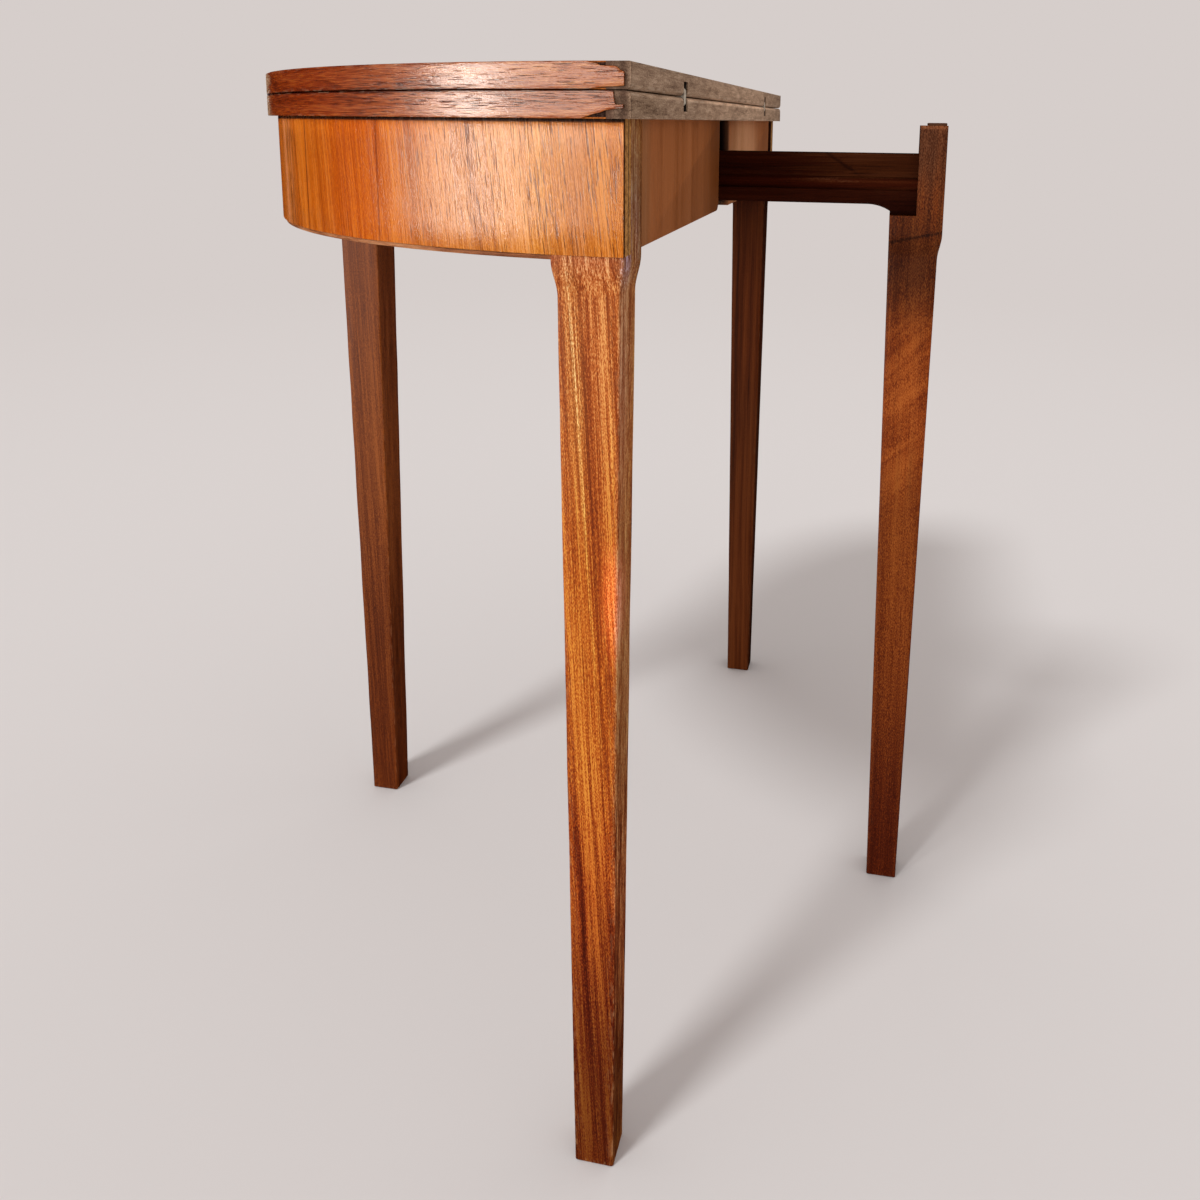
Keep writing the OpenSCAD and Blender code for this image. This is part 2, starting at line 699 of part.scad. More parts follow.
left_back_fixing_block();
right_front_fixing_block();
left_front_fixing_block();
fixing_screws();
sliding_leg();
slide_rail();
rail_dowels();
stop_peg();
leaf_rest_pad();
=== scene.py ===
"""Dresses the half-round folding side table and stands it in a pale studio.

Sizes are millimetres in the table's own frame, as its maker would read them: X runs along the
straight back, -Y is the curved front, Z is up from the floor and Y = 0 is the back of the frame.
`place` turns such a point into the metres of the shared frame.
"""
from __future__ import annotations

import logging
import math
from abc import ABC, abstractmethod
from collections.abc import Callable, Sequence
from dataclasses import dataclass, replace
from enum import Enum

import bmesh
import bpy
from mathutils import Matrix, Vector, noise


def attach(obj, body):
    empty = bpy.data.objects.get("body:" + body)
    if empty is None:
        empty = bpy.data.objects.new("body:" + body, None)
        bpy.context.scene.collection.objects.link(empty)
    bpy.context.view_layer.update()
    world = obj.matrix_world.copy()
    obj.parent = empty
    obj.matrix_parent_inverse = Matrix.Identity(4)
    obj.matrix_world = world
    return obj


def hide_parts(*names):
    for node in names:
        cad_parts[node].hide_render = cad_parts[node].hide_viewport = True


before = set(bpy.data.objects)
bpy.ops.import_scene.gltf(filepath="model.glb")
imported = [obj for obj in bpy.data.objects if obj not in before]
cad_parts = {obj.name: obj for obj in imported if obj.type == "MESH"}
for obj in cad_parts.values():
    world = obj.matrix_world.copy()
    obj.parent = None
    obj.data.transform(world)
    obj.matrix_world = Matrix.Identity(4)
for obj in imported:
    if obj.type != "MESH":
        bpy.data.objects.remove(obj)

LOG = logging.getLogger("side_table")
MM = 0.001
# How far the back of the frame lies behind the origin, which is in the middle of the outline
BACK_Y = 95.0

Point = tuple[float, float, float]
Flat = tuple[float, float]
Colour = tuple[float, float, float]
Socket = bpy.types.NodeSocket
# A flat closed outline: each point's two distances, and how worn it is, from 0 to 1
Outline = list[tuple[float, float, float]]
# The same in its place: each point's x, y and z, and how worn it is
Ring = list[tuple[float, float, float, float]]


def place(x: float, y: float, z: float) -> Point:
    """Return a table point in mm as a point of the shared frame in metres."""
    return (x * MM, (y + BACK_Y) * MM, z * MM)


def between(a: float, b: float, share: float) -> float:
    """Return the value that lies at a share of the way from a to b."""
    return a + (b - a) * share


def ripple(x: float, y: float, z: float = 0.0) -> float:
    """Return a smooth repeatable value from about -1 to 1 for a place."""
    # The noise is 0 wherever all three are whole numbers, so the place is moved off them
    return noise.noise(Vector((x + 11.3, y + 5.7, z + 2.9))) * 1.6


# ---------------------------------------------------------------- materials


class Amount:
    """A number that a material works out at each place, open to plain arithmetic."""

    def __init__(self, graph: Graph, socket: Socket) -> None:
        """Keep the material's graph and the socket that gives the number."""
        self.graph = graph
        self.socket = socket

    def __add__(self, other: Amount | float) -> Amount:
        """Return this number with another added to it."""
        return self.graph.math("ADD", self, other)

    def __sub__(self, other: Amount | float) -> Amount:
        """Return this number less another."""
        return self.graph.math("SUBTRACT", self, other)

    def __rsub__(self, other: float) -> Amount:
        """Return a plain number less this one."""
        return self.graph.math("SUBTRACT", other, self)

    def __mul__(self, other: Amount | float) -> Amount:
        """Return this number times another."""
        return self.graph.math("MULTIPLY", self, other)

    def __truediv__(self, other: Amount | float) -> Amount:
        """Return this number divided by another."""
        return self.graph.math("DIVIDE", self, other)


class Graph:
    """Adds shader nodes to one material and links them."""

    def __init__(self, name: str) -> None:
        """Start an empty material.

        Args:
            name: what the material is called.
        """
        self.material = bpy.data.materials.new(name)
        self.material.use_nodes = True
        self.tree = self.material.node_tree
        self.tree.nodes.clear()

    def feed(self, target: Socket, value: Amount | Socket | float | Sequence[float]) -> None:
        """Link a worked-out value to an input, or set the input to a plain one.

        Args:
            target: the input.
            value: what goes into it.
        """
        if isinstance(value, Amount):
            value = value.socket
        if isinstance(value, Socket):
            self.tree.links.new(value, target)
        else:
            target.default_value = value

    def node(self, kind: str, *inputs: Amount | Socket | float | Sequence[float],
             **settings: object) -> bpy.types.Node:
        """Add one node.

        Args:
            kind: the node's type, without its ShaderNode prefix.
            inputs: what goes into its first inputs, in their order.
            settings: properties to set on it.

        Returns:
            The new node.
        """
        made = self.tree.nodes.new("ShaderNode" + kind)
        for key, value in settings.items():
            setattr(made, key, value)
        for target, value in zip(made.inputs, inputs):
            self.feed(target, value)
        return made

    def math(self, operation: str, a: Amount | float, b: Amount | float = 0.0,
             clamp: bool = False) -> Amount:
        """Return the result of one of Blender's sums with one or two numbers."""
        made = self.node("Math", a, b, operation=operation, use_clamp=clamp)
        return Amount(self, made.outputs[0])

    def vector(self, x: Amount | float, y: Amount | float, z: Amount | float) -> Socket:
        """Return three numbers as one vector."""
        return self.node("CombineXYZ", x, y, z).outputs[0]

    def split(self, vector: Socket) -> list[Amount]:
        """Return a vector's three numbers."""
        return [Amount(self, part) for part in self.node("SeparateXYZ", vector).outputs]

    def arrow(self, operation: str, a: Socket | Point, b: Socket | Point) -> Socket:
        """Return the result of one of Blender's sums with two vectors."""
        return self.node("VectorMath", a, b, operation=operation).outputs[0]

    def length(self, vector: Socket) -> Amount:
        """Return how long a vector is."""
        return Amount(self, self.node("VectorMath", vector, operation="LENGTH").outputs["Value"])

    def noise(self, where: Socket, detail: float, rough: float = 0.5, distortion: float = 0.0,
              scale: float = 1.0) -> Amount:
        """Add smooth noise.

        Args:
            where: the place.
            detail: how many finer layers are laid over the coarsest.
            rough: how much each finer layer counts.
            distortion: how far the noise is pushed about by itself.
            scale: how many waves it has in one unit of the place.

        Returns:
            The noise at the place, from 0 to 1.
        """
        made = self.node("TexNoise", where, noise_dimensions="3D")
        for key, value in (("Scale", scale), ("Detail", detail), ("Roughness", rough),
                           ("Distortion", distortion)):
            made.inputs[key].default_value = value
        return Amount(self, made.outputs[0])

    def spread(self, value: Amount, low: float, high: float, to_low: float = 0.0,
               to_high: float = 1.0) -> Amount:
        """Return a number moved smoothly from one range to another."""
        made = self.node("MapRange", value, low, high, to_low, to_high,
                         interpolation_type="SMOOTHSTEP")
        return Amount(self, made.outputs[0])

    def ramp(self, value: Amount, tones: Sequence[Colour]) -> Socket:
        """Turn a number into a colour.

        Args:
            value: the number.
            tones: the colours that it goes through from 0 to 1.

        Returns:
            The colour.
        """
        made = self.node("ValToRGB", value)
        stops = made.color_ramp.elements
        while len(stops) < len(tones):
            stops.new(0.5)
        for i, tone in enumerate(tones):
            stops[i].position = i / (len(tones) - 1)
            stops[i].color = (*tone, 1.0)
        return made.outputs[0]

    def blend(self, share: Amount | float, a: Socket | Colour, b: Socket | Colour,
              way: str = "MIX") -> Socket:
        """Mix two colours.

        Args:
            share: how much the second counts, from 0 to 1.
            a: the first colour.
            b: the second colour.
            way: Blender's name for how they are mixed.

        Returns:
            The mixed colour.
        """
        made = self.node("Mix", share, data_type="RGBA", blend_type=way, clamp_factor=True)
        for target, value in zip((made.inputs[6], made.inputs[7]), (a, b)):
            self.feed(target, (*value, 1.0) if isinstance(value, tuple) else value)
        return made.outputs[2]


@dataclass(frozen=True)
class Patch:
    """A soft-edged place or streak where a piece is lighter, darker or of another hue.

    `lean` is how far its middle moves in X and Y for each mm up, and `ragged` how far the grain
    breaks up its edge.
    """

    # Some patches are painted light: painted shade, shadow, highlight or sheen, each marked where
    # it is listed
    middle: Point
    reach: Point
    gain: Colour
    strength: float = 1.0
    lean: Flat = (0.0, 0.0)
    ragged: float = 0.5
    # Where its edge starts and ends, as shares of its reach
    edge: Flat = (0.3, 1.3)

    def cover(self, graph: Graph, where: Socket, ragged: Amount) -> Amount:
        """Find how much of a place the patch covers.

        Args:
            graph: the material being made.
            where: the place on the piece, in metres.
            ragged: noise about 0 that breaks the patch's edge up.

        Returns:
            The share that is covered, from 0 to the patch's strength.
        """
        offset = graph.arrow("SUBTRACT", where, place(*self.middle))
        if any(self.lean):
            up = graph.split(offset)[2]
            sideways = graph.vector(up * self.lean[0], up * self.lean[1], 0.0)
            offset = graph.arrow("SUBTRACT", offset, sideways)
        scaled = graph.arrow("DIVIDE", offset, tuple(r * MM for r in self.reach))
        start, end = self.edge
        return graph.spread(graph.length(scaled) + ragged * self.ragged, end, start, 0.0,
                            self.strength)

    def apply(self, graph: Graph, where: Socket, ragged: Amount, colour: Socket) -> Socket:
        """Return a colour with the patch laid over it."""
        share = self.cover(graph, where, ragged)
        return graph.blend(share, colour, graph.blend(1.0, colour, self.gain, "MULTIPLY"))


class Finish(ABC):
    """How a surface looks; `relief` is the height in mm of what `bump` brings out."""

    name: str
    bump: float
    relief: float

    @abstractmethod
    def paint(self, graph: Graph, where: Socket, shader: bpy.types.Node) -> Amount:
        """Give the shader its colour and gloss.

        Args:
            graph: the material being made.
            where: the place on the piece, in metres.
            shader: the shader that takes them.

        Returns:
            The surface's height, for its relief.
        """

    def material(self) -> bpy.types.Material:
        """Make this finish's material the first time it is asked for.

        Returns:
            The material.
        """
        title = self.name + "_finish"
        known = bpy.data.materials.get(title)
        if known:
            return known
        graph = Graph(title)
        where = graph.node("TexCoord").outputs["Object"]
        shader = graph.node("BsdfPrincipled")
        height = self.paint(graph, where, shader)
        bump = graph.node("Bump")
        for key, value in (("Strength", self.bump), ("Distance", self.relief * MM),
                           ("Height", height)):
            graph.feed(bump.inputs[key], value)
        graph.feed(shader.inputs["Normal"], bump.outputs[0])
        graph.node("OutputMaterial", shader.outputs[0])
        return graph.material


class Grain(Enum):
    """Which way the fibres of a piece run."""

    UPRIGHT = "upright"
    ALONG_BACK = "along the back"
    FRONT_TO_BACK = "front to back"
    UPRIGHT_ON_CURVE = "upright on the curved front"
    ROUND_CURVE = "round the curved front"


@dataclass(frozen=True)
class Fibres:
    """How far across, through and along the grain each place of a material lies, in metres."""

    graph: Graph
    across: Amount
    through: Amount
    along: Amount

    def drawn(self, width: float, length: float, detail: float = 1.0) -> Amount:
        """Return noise about 0 drawn out along the grain, its width and length in mm."""
        where = self.graph.vector(self.across / (width * MM), self.through / (width * MM),
                                  self.along / (length * MM))
        return self.graph.noise(where, detail) - 0.5


@dataclass(frozen=True)
class Wood(Finish):
    """A wood finish: its tones from dark to light, its figure, pores, wear and gloss.

    Widths and lengths are in mm. `zones`, `stripes`, `hairs` and `grit` say how strongly broad
    zones, stripes, hair-fine lines and sparkle move the tone, and `calm` is where lines and pores
    fade.
    """

    name: str
    grain: Grain
    tones: tuple[Colour, ...]
    stripe: float = 5.0
    run: float = 320.0
    lean: Flat = (0.0, 0.0)
    wander: float = 1.2
    zones: float = 0.8
    stripes: float = 0.8
    hairs: float = 0.4
    grit: float = 0.25
    lines: float = 0.5
    line_size: Flat = (0.9, 110.0)
    pores: float = 0.5
    pore_size: Flat = (0.4, 8.0)
    pore_share: float = 0.6
    flame: float = 0.0
    flame_pitch: float = 26.0
    flame_slope: float = 1.0
    flame_span: Flat = (0.0, 0.0)
    wear: Colour = (0.3, 0.16, 0.08)
    wear_share: float = 0.3
    rough: float = 0.45
    shine: float = 0.12
    bump: float = 0.25
    scratch: float = 0.0
    curve_y: float = 0.0
    patches: tuple[Patch, ...] = ()
    calm: Patch | None = None
    relief: float = 0.4
    # How much a share of 1 moves the tone, and what a line or pore does to the colour
    contrast: float = 2.6
    sunken: Colour = (0.27, 0.18, 0.12)
    # The least noise at which a line shows, and at which a pore would with no pore_share, how
    # much that share lowers it, how much more noise shows them whole, and how deep pores go
    line_least: float = 0.13
    pore_least: float = 0.5
    pore_drop: float = 0.62
    least_fade: float = 0.09
    pore_depth: float = 5.0
    # The radius in mm on which a curved piece's fibres are measured out
    curve_radius: float = 380.0

    def fibres(self, graph: Graph, where: Socket) -> Fibres:
        """Lay out the grain, which leans and wanders a little as it runs.

        Args:
            graph: the material being made.
            where: the place on the piece, in metres.

        Returns:
            The distances across, through and along the fibres.
        """
        x, y, z = graph.split(where)
        if self.grain in (Grain.UPRIGHT_ON_CURVE, Grain.ROUND_CURVE):
            back = (BACK_Y + self.curve_y) * MM - y
            radius = graph.math("SQRT", x * x + back * back)
            turn = graph.math("ARCTAN2", x, back) * (self.curve_radius * MM)
            upright = self.grain is Grain.UPRIGHT_ON_CURVE
            across, through, along = (turn, radius, z) if upright else (z, radius, turn)
        elif self.grain is Grain.UPRIGHT:
            across, through, along = x, y, z
        elif self.grain is Grain.ALONG_BACK:
            across, through, along = y, z, x
        else:
            across, through, along = x, z, y
        # It wanders slowly, and more slowly along the grain than across it
        slow = graph.vector(across * 9.0, through * 9.0, along * 3.0)
        drift = (graph.noise(slow, 1.0) - 0.5) * (self.wander * MM * 5.0)
        across, through = (way + drift + along * lean
                           for way, lean in zip((across, through), self.lean))
        return Fibres(graph, across, through, along)

    def flames(self, fibres: Fibres) -> Amount:
        """Add the bands of a curly figure round one height of the piece.

        Args:
            fibres: how the grain lies.

        Returns:
            How far the bands move the tone, about 0.
        """
        graph = fibres.graph
        slanted = fibres.along + fibres.through * self.flame_slope
        where = graph.vector(fibres.across * 22.0, fibres.through * 12.0,
                             slanted / (self.flame_pitch * MM))
        bands = (graph.noise(where, 1.6, 0.5, 0.8) - 0.5) * (self.flame * self.contrast)
        middle, reach = self.flame_span
        away = graph.math("ABSOLUTE", fibres.along - middle * MM)
        return bands * graph.spread(away, 1.4 * reach * MM, 0.6 * reach * MM)

    def scratches(self, fibres: Fibres) -> Amount:
        """Add fine slanting scratches.

        Args:
            fibres: how the grain lies.

        Returns:
            How much they show at a place, up to the finish's own share.
        """
        graph = fibres.graph
        slant = fibres.along + fibres.across * 1.3
        where = graph.vector(slant / (0.6 * MM), fibres.across / (26.0 * MM), 0.0)
        return graph.spread(graph.noise(where, 1.0), 0.7, 0.76, 0.0, self.scratch)

    def worn(self, fibres: Fibres) -> Amount:
        """Break the wear that is kept in the mesh up by the grain.

        Args:
            fibres: how the grain lies.

        Returns:
            How much the wear shows at a place, from 0 to 1.
        """
        graph = fibres.graph
        kept = Amount(graph, graph.node("Attribute", attribute_name="wear").outputs["Fac"])
        broken = kept * graph.spread(fibres.drawn(1.6, 9.0), 0.0, 0.14)
        return graph.math("MULTIPLY", broken, self.wear_share, clamp=True)

    def paint(self, graph: Graph, where: Socket, shader: bpy.types.Node) -> Amount:
        """Give the shader the wood's colour and gloss.

        Args:
            graph: the material being made.
            where: the place on the piece, in metres.
            shader: the shader that takes them.

        Returns:
            The surface's height: hairs and grit stand up, and pores are sunk in.
        """
        fibres = self.fibres(graph, where)
        zones = fibres.drawn(self.stripe * 3.6, self.run * 1.6)
        stripes = fibres.drawn(self.stripe, self.run, 2.0)
        hairs = fibres.drawn(0.65, self.run * 0.25)
        grit = fibres.drawn(0.5, 1.7)
        tone = zones * (self.zones * self.contrast) + 0.5
        for part, share in ((stripes, self.stripes), (hairs, self.hairs), (grit, self.grit)):
            tone = tone + part * (share * self.contrast)
        if self.flame > 0:
            tone = tone + self.flames(fibres)
        colour = graph.ramp(tone, self.tones)
        ragged = stripes + grit * 0.5
        for patch in self.patches:
            colour = patch.apply(graph, where, ragged, colour)
        # Lines and pores show, and pores are sunk, where their noise passes a least value, which
        # happens more in the dark zones
        bare = 1.0 - self.calm.cover(graph, where, ragged) if self.calm else None
        least_pore = self.pore_least - self.pore_drop * self.pore_share
        for strength, size, least in ((self.lines, self.line_size, self.line_least),
                                      (self.pores, self.pore_size, least_pore)):
            found = fibres.drawn(*size) + zones * -0.3
            shown = graph.spread(found, least, least + self.least_fade, 0.0, strength)
            if bare:
                shown = shown * bare
            colour = graph.blend(shown, colour, graph.blend(1.0, colour, self.sunken, "MULTIPLY"))
        depth = graph.math("MAXIMUM", (found - least) * (self.pore_depth * self.pores), 0.0)
        if bare:
            depth = depth * bare
        if self.scratch > 0:
            colour = graph.blend(self.scratches(fibres), colour, self.wear)
        graph.feed(shader.inputs["Base Color"], graph.blend(self.worn(fibres), colour, self.wear))
        graph.feed(shader.inputs["Roughness"],
                   graph.spread(stripes, -0.3, 0.3, self.rough - 0.03, self.rough + 0.05))
        shader.inputs["Specular IOR Level"].default_value = self.shine
        shader.inputs["Specular Tint"].default_value = (1.0, 0.94, 0.84, 1.0)
        return (hairs + grit) * 0.8 - depth


@dataclass(frozen=True)
class Metal(Finish):
    """A small cast or turned metal finish, dulled in places."""

    name: str
    bright: Colour
    dull: Colour
    rough: float
    metallic: float
    bump: float = 0.2
    relief: float = 0.2

    def paint(self, graph: Graph, where: Socket, shader: bpy.types.Node) -> Amount:
        """Give the shader the metal's colour and gloss.

        Args:
            graph: the material being made.
            where: the place on the piece, in metres.
            shader: the shader that takes them.

        Returns:
            The surface's height.
        """
        cloudy = graph.noise(where, 4.0, 0.6, scale=420.0)
        graph.feed(shader.inputs["Base Color"],
                   graph.ramp(graph.spread(cloudy, 0.35, 0.65), (self.dull, self.bright)))
        graph.feed(shader.inputs["Roughness"],
                   graph.spread(cloudy, 0.3, 0.7, self.rough + 0.15, self.rough - 0.1))
        shader.inputs["Metallic"].default_value = self.metallic
        return cloudy


@dataclass(frozen=True)
class Felt(Finish):
    """A thin pressed felt, matt and slightly fluffy."""

    name: str
    dark: Colour
    light: Colour
    bump: float = 0.6
    relief: float = 0.4

    def paint(self, graph: Graph, where: Socket, shader: bpy.types.Node) -> Amount:
        """Give the shader the felt's colour and gloss.

        Args:
            graph: the material being made.
            where: the place on the piece, in metres.
            shader: the shader that takes them.

        Returns:
            The surface's height.
        """
        fluff = graph.noise(where, 5.0, 0.7, 1.5, scale=1400.0)
        graph.feed(shader.inputs["Base Color"],
                   graph.ramp(graph.spread(fluff, 0.3, 0.7), (self.dark, self.light)))
        shader.inputs["Roughness"].default_value = 0.95
        shader.inputs["Specular IOR Level"].default_value = 0.1
        return fluff


# ---------------------------------------------------------------- finishes


EDGE_BAND = Wood(
    "edge_band", Grain.ROUND_CURVE,
    ((0.14, 0.014, 0.0008), (0.22, 0.024, 0.001), (0.29, 0.038, 0.002), (0.38, 0.075, 0.006)),
    stripe=2.2, run=60, wander=0.3, zones=0.3, stripes=0.45, hairs=0.8, grit=0.4,
    lines=0.5, line_size=(0.7, 30), pores=0.95, pore_size=(0.6, 11), pore_share=0.68,
    calm=Patch((290, -255, 721), (95, 120, 60), (1, 1, 1), 0.6),
    wear=(0.5, 0.3, 0.18), wear_share=0.35, rough=0.25, shine=0.7, bump=0.42, curve_y=7,
    # The first patch makes the near end paler and pinker: partly worn wood, partly painted sheen
    patches=(Patch((386, -40, 721), (110, 175, 60), (1.5, 2.9, 12)),
             # Painted reflection: a pale patch at the left end stands for light mirrored there at
             # a grazing angle
             Patch((216, -314, 721), (30, 24, 40), (2.2, 10, 110), 1, ragged=2),
             # Painted shade: a dark line along the seam between the two leaves
             Patch((0, 0, 721.15), (2000, 2000, 1.2), (0.3, 0.2, 0.25), ragged=0.2),
             Patch((-20, -384, 721), (330, 60, 60), (1.3, 2.6, 8), 0.6)))
EDGE_STRIP = Wood(
    "edge_strip", Grain.ALONG_BACK,
    ((0.19, 0.112, 0.066), (0.31, 0.195, 0.125), (0.42, 0.28, 0.18), (0.55, 0.39, 0.27)),
    stripe=1.3, run=16, wander=0.4, zones=0.35, stripes=0.4, hairs=0.3, grit=0.6,
    lines=0.2, pores=0.45, pore_size=(0.5, 2.2),
    wear=(0.55, 0.42, 0.3), wear_share=0.7, rough=0.6, bump=0.3,
    patches=(Patch((-60, 7, 721), (250, 30, 60), (1.45, 1.45, 1.45)),
             Patch((350, 7, 713), (60, 30, 8), (0.78, 0.76, 0.72)),
             # Painted highlight: a pale line along the rounded arris just under the seam
             Patch((0, 7, 719.2), (480, 30, 1.4), (1.75, 1.8, 1.85), 0.9, ragged=0.6),
             Patch((387, 2.8, 721), (6.5, 5.6, 90), (0.26, 0.2, 0.18), ragged=0.3),
             Patch((386, -8, 721), (9, 9, 90), (0.3, 0.22, 0.2), ragged=0.3)))
FACE_VENEER = Wood(
    "face_veneer", Grain.ALONG_BACK,
    ((0.2, 0.045, 0.006), (0.31, 0.08, 0.012), (0.42, 0.12, 0.02), (0.52, 0.18, 0.04)),
    stripe=11, run=600, wander=5, rough=0.62, shine=0.06, bump=0.1)
LEAF_CORE = Wood(
    "leaf_core", Grain.ALONG_BACK,
    ((0.012, 0.005, 0.003), (0.035, 0.015, 0.01), (0.07, 0.035, 0.024)),
    stripe=1.2, run=8, wander=0.3, grit=0.8, pores=0.6, pore_size=(0.6, 2), rough=0.85,
    shine=0.05, bump=0.8)
APRON_VENEER = Wood(
    "apron_veneer", Grain.UPRIGHT_ON_CURVE,
    ((0.42, 0.075, 0.001), (0.52, 0.1, 0.0015), (0.62, 0.14, 0.003), (0.74, 0.2, 0.012)),
    stripe=5, run=260, lean=(0.1, 0), wander=0.3, zones=0.4, stripes=0.45, hairs=0.9,
    grit=0.6, lines=0.5, line_size=(0.8, 60), pores=0.85, pore_size=(0.65, 15),
    pore_share=0.69, calm=Patch((312, -205, 667), (62, 105, 90), (1, 1, 1), 0.75),
    rough=0.25, shine=0.45, bump=0.36, scratch=0.3, wear=(0.62, 0.36, 0.2),
    patches=(Patch((279, -247, 667), (1.3, 1.3, 90), (0.4, 0.3, 0.3), ragged=0.2),
             Patch((333, -168, 667), (0.9, 1.2, 90), (0.6, 0.5, 0.5), ragged=0.3),
             # Painted light and sheen: the near end is made lighter and paler
             Patch((370, -60, 667), (70, 110, 80), (1.05, 1.55, 6), 0.9),
             Patch((322, -190, 667), (30, 50, 120), (0.94, 0.78, 0.25)),
             # Painted reflection: a pale patch at the left edge stands for light mirrored there at
             # a grazing angle
             Patch((244, -282, 667), (22, 22, 120), (1.2, 1.7, 14), 0.9, ragged=1),
             # Painted highlight: a lighter and a darker narrow band that shape the sheen near the
             # near end
             Patch((369, -50, 667), (9, 11, 90), (1.12, 1.24, 1.45)),
             Patch((372, -27, 667), (9, 9, 90), (0.88, 0.84, 1.1)),
             Patch((0, 0, 702), (2000, 2000, 9), (1.2, 1.25, 1.3)),
             # Painted shadow: a dark line along the top of the apron, under the leaf
             Patch((0, 0, 706.2), (2000, 2000, 1.9), (0.04, 0.02, 0.03), ragged=0.1),
             Patch((0, 0, 704.9), (2000, 2000, 1.3), (0.08, 0.05, 0.06), ragged=0.1)))
DARK_PLY = Wood(
    "dark_ply", Grain.ROUND_CURVE,
    ((0.05, 0.014, 0.003), (0.1, 0.032, 0.008), (0.16, 0.06, 0.018)),
    stripe=1, run=12, pores=0.4, pore_size=(0.4, 3), rough=0.7, shine=0.05, bump=0.5)
LIGHT_PLY = replace(DARK_PLY, name="light_ply", tones=(
    (0.3, 0.13, 0.03), (0.46, 0.21, 0.055), (0.6, 0.3, 0.085)))
MID_PLY = replace(DARK_PLY, name="mid_ply", tones=(
    (0.12, 0.05, 0.015), (0.2, 0.1, 0.035), (0.28, 0.15, 0.06)))
LIPPING = Wood(
    "lipping", Grain.ROUND_CURVE,
    ((0.2, 0.055, 0.014), (0.36, 0.12, 0.04), (0.52, 0.23, 0.1)),
    stripe=1.5, run=30, pores=0.4, pore_size=(0.4, 6), wear=(0.55, 0.35, 0.18), rough=0.6)
BACK_VENEER = Wood(
    "back_veneer", Grain.UPRIGHT,
    ((0.34, 0.1, 0.02), (0.42, 0.133, 0.036), (0.5, 0.17, 0.052)),
    stripe=7, wander=1.5, zones=0.3, stripes=0.25, hairs=0.5, lines=0.15, pores=0.3,
    pore_size=(0.5, 8), rough=0.42, shine=0.25, bump=0.1,
    patches=(Patch((45, 0, 668), (70, 90, 260), (0.7, 0.62, 0.42), 0.85),
             Patch((328, 0, 668), (26, 10, 120), (0.82, 0.98, 1.2), ragged=0.3),
             Patch((-120, 0, 668), (110, 30, 60), (1.6, 2.4, 4.1), 0.9),
             # Painted shade: the left panel's end at the slot is made nearly black
             Patch((-12, -9, 662), (10, 12, 160), (0.03, 0.012, 0.01), ragged=0.1)))
LEG_GOLDEN = Wood(
    "leg_golden", Grain.UPRIGHT,
    ((0.22, 0.03, 0.0016), (0.38, 0.068, 0.004), (0.54, 0.13, 0.012), (0.72, 0.27, 0.035)),
    stripe=2.6, run=340, lean=(0, 0.05), wander=0.7, zones=0.45, stripes=0.6, hairs=0.6,
    grit=0.8, lines=0.35, line_size=(0.8, 150), pores=0.45, pore_size=(0.6, 3),
    wear=(0.6, 0.32, 0.14), wear_share=0.4, bump=0.12,
    patches=(
        Patch((370, -30.5, 560), (30, 6.5, 110), (1.2, 1.6, 2), 0.8, (0, -0.045)),
        Patch((370, -24.5, 455), (30, 1.4, 190), (1.3, 1.8, 2.4), 0.9, (0, -0.062), 0.7),
        Patch((370, -9, 560), (30, 1.3, 110), (1.3, 1.6, 1.9), 0.8, (0, -0.01), 0.7),
        Patch((371, -8, 415), (26, 8, 40), (1.8, 1.7, 3.2), 0.9, (0, 0), 1),
        Patch((371, -12, 300), (26, 2.2, 110), (1.3, 1.5, 1.5), 0.7, (0, -0.03), 0.8),
        # Painted shade: the leg is made darker and deeper in hue towards its foot
        Patch((370, -20, 40), (60, 60, 230), (0.29, 0.2, 0.12), ragged=1),
        Patch((370, -20, 180), (60, 60, 110), (1.02, 0.74, 0.62), ragged=1),
        Patch((348, -3.9, 150), (120, 5, 140), (1.5, 1.5, 1.6), 1, (0, 0.009), 0.1),
        Patch((348, 0.2, 590), (120, 4.6, 110), (0.9, 1.25, 1.8), ragged=0.1),
        Patch((350, 3, 650), (7, 5, 90), (0.62, 0.5, 0.22), ragged=0.1),
        Patch((351, 3, 672), (6, 5, 60), (0.88, 0.62, 0.45), ragged=0.1),
        Patch((348, 2, 632), (9, 6, 30), (1.08, 0.84, 0.42), ragged=0.1),
        # Painted highlight: the leg is made lighter and paler towards its head
        Patch((370, -20, 660), (40, 60, 190), (1.1, 1.35, 3.2)),
        Patch((370, -20, 640), (40, 60, 28), (1, 1.1, 1.7)),
        Patch((348, -2.7, 300), (120, 5, 340), (0.86, 1.55, 5.6), 1, (0, 0.009), 0.1),
        Patch((348, 3, 690), (120, 5, 80), (0.76, 1.25, 2.4), ragged=0.1),
        Patch((368, -2, 478), (6, 1.6, 4.5), (1.9, 4.5, 40), 1, (0, 0), 2)))
LEG_DARK = Wood(
    "leg_dark", Grain.UPRIGHT,
    ((0.032, 0.0055, 0.0004), (0.064, 0.012, 0.0014), (0.1, 0.023, 0.004)),
    stripe=4, pores=0.3, wear=(0.16, 0.07, 0.03), rough=0.5, shine=0.06, bump=0.1,
    # Painted shade: the far leg is made darker near its top, under the table top, and lighter
    # lower down
    patches=(Patch((-348, -20, 655), (60, 60, 60), (0.45, 0.2, 0.2)),
             Patch((-348, -20, 480), (60, 60, 110), (1.4, 1.35, 1.25), 0.9)))
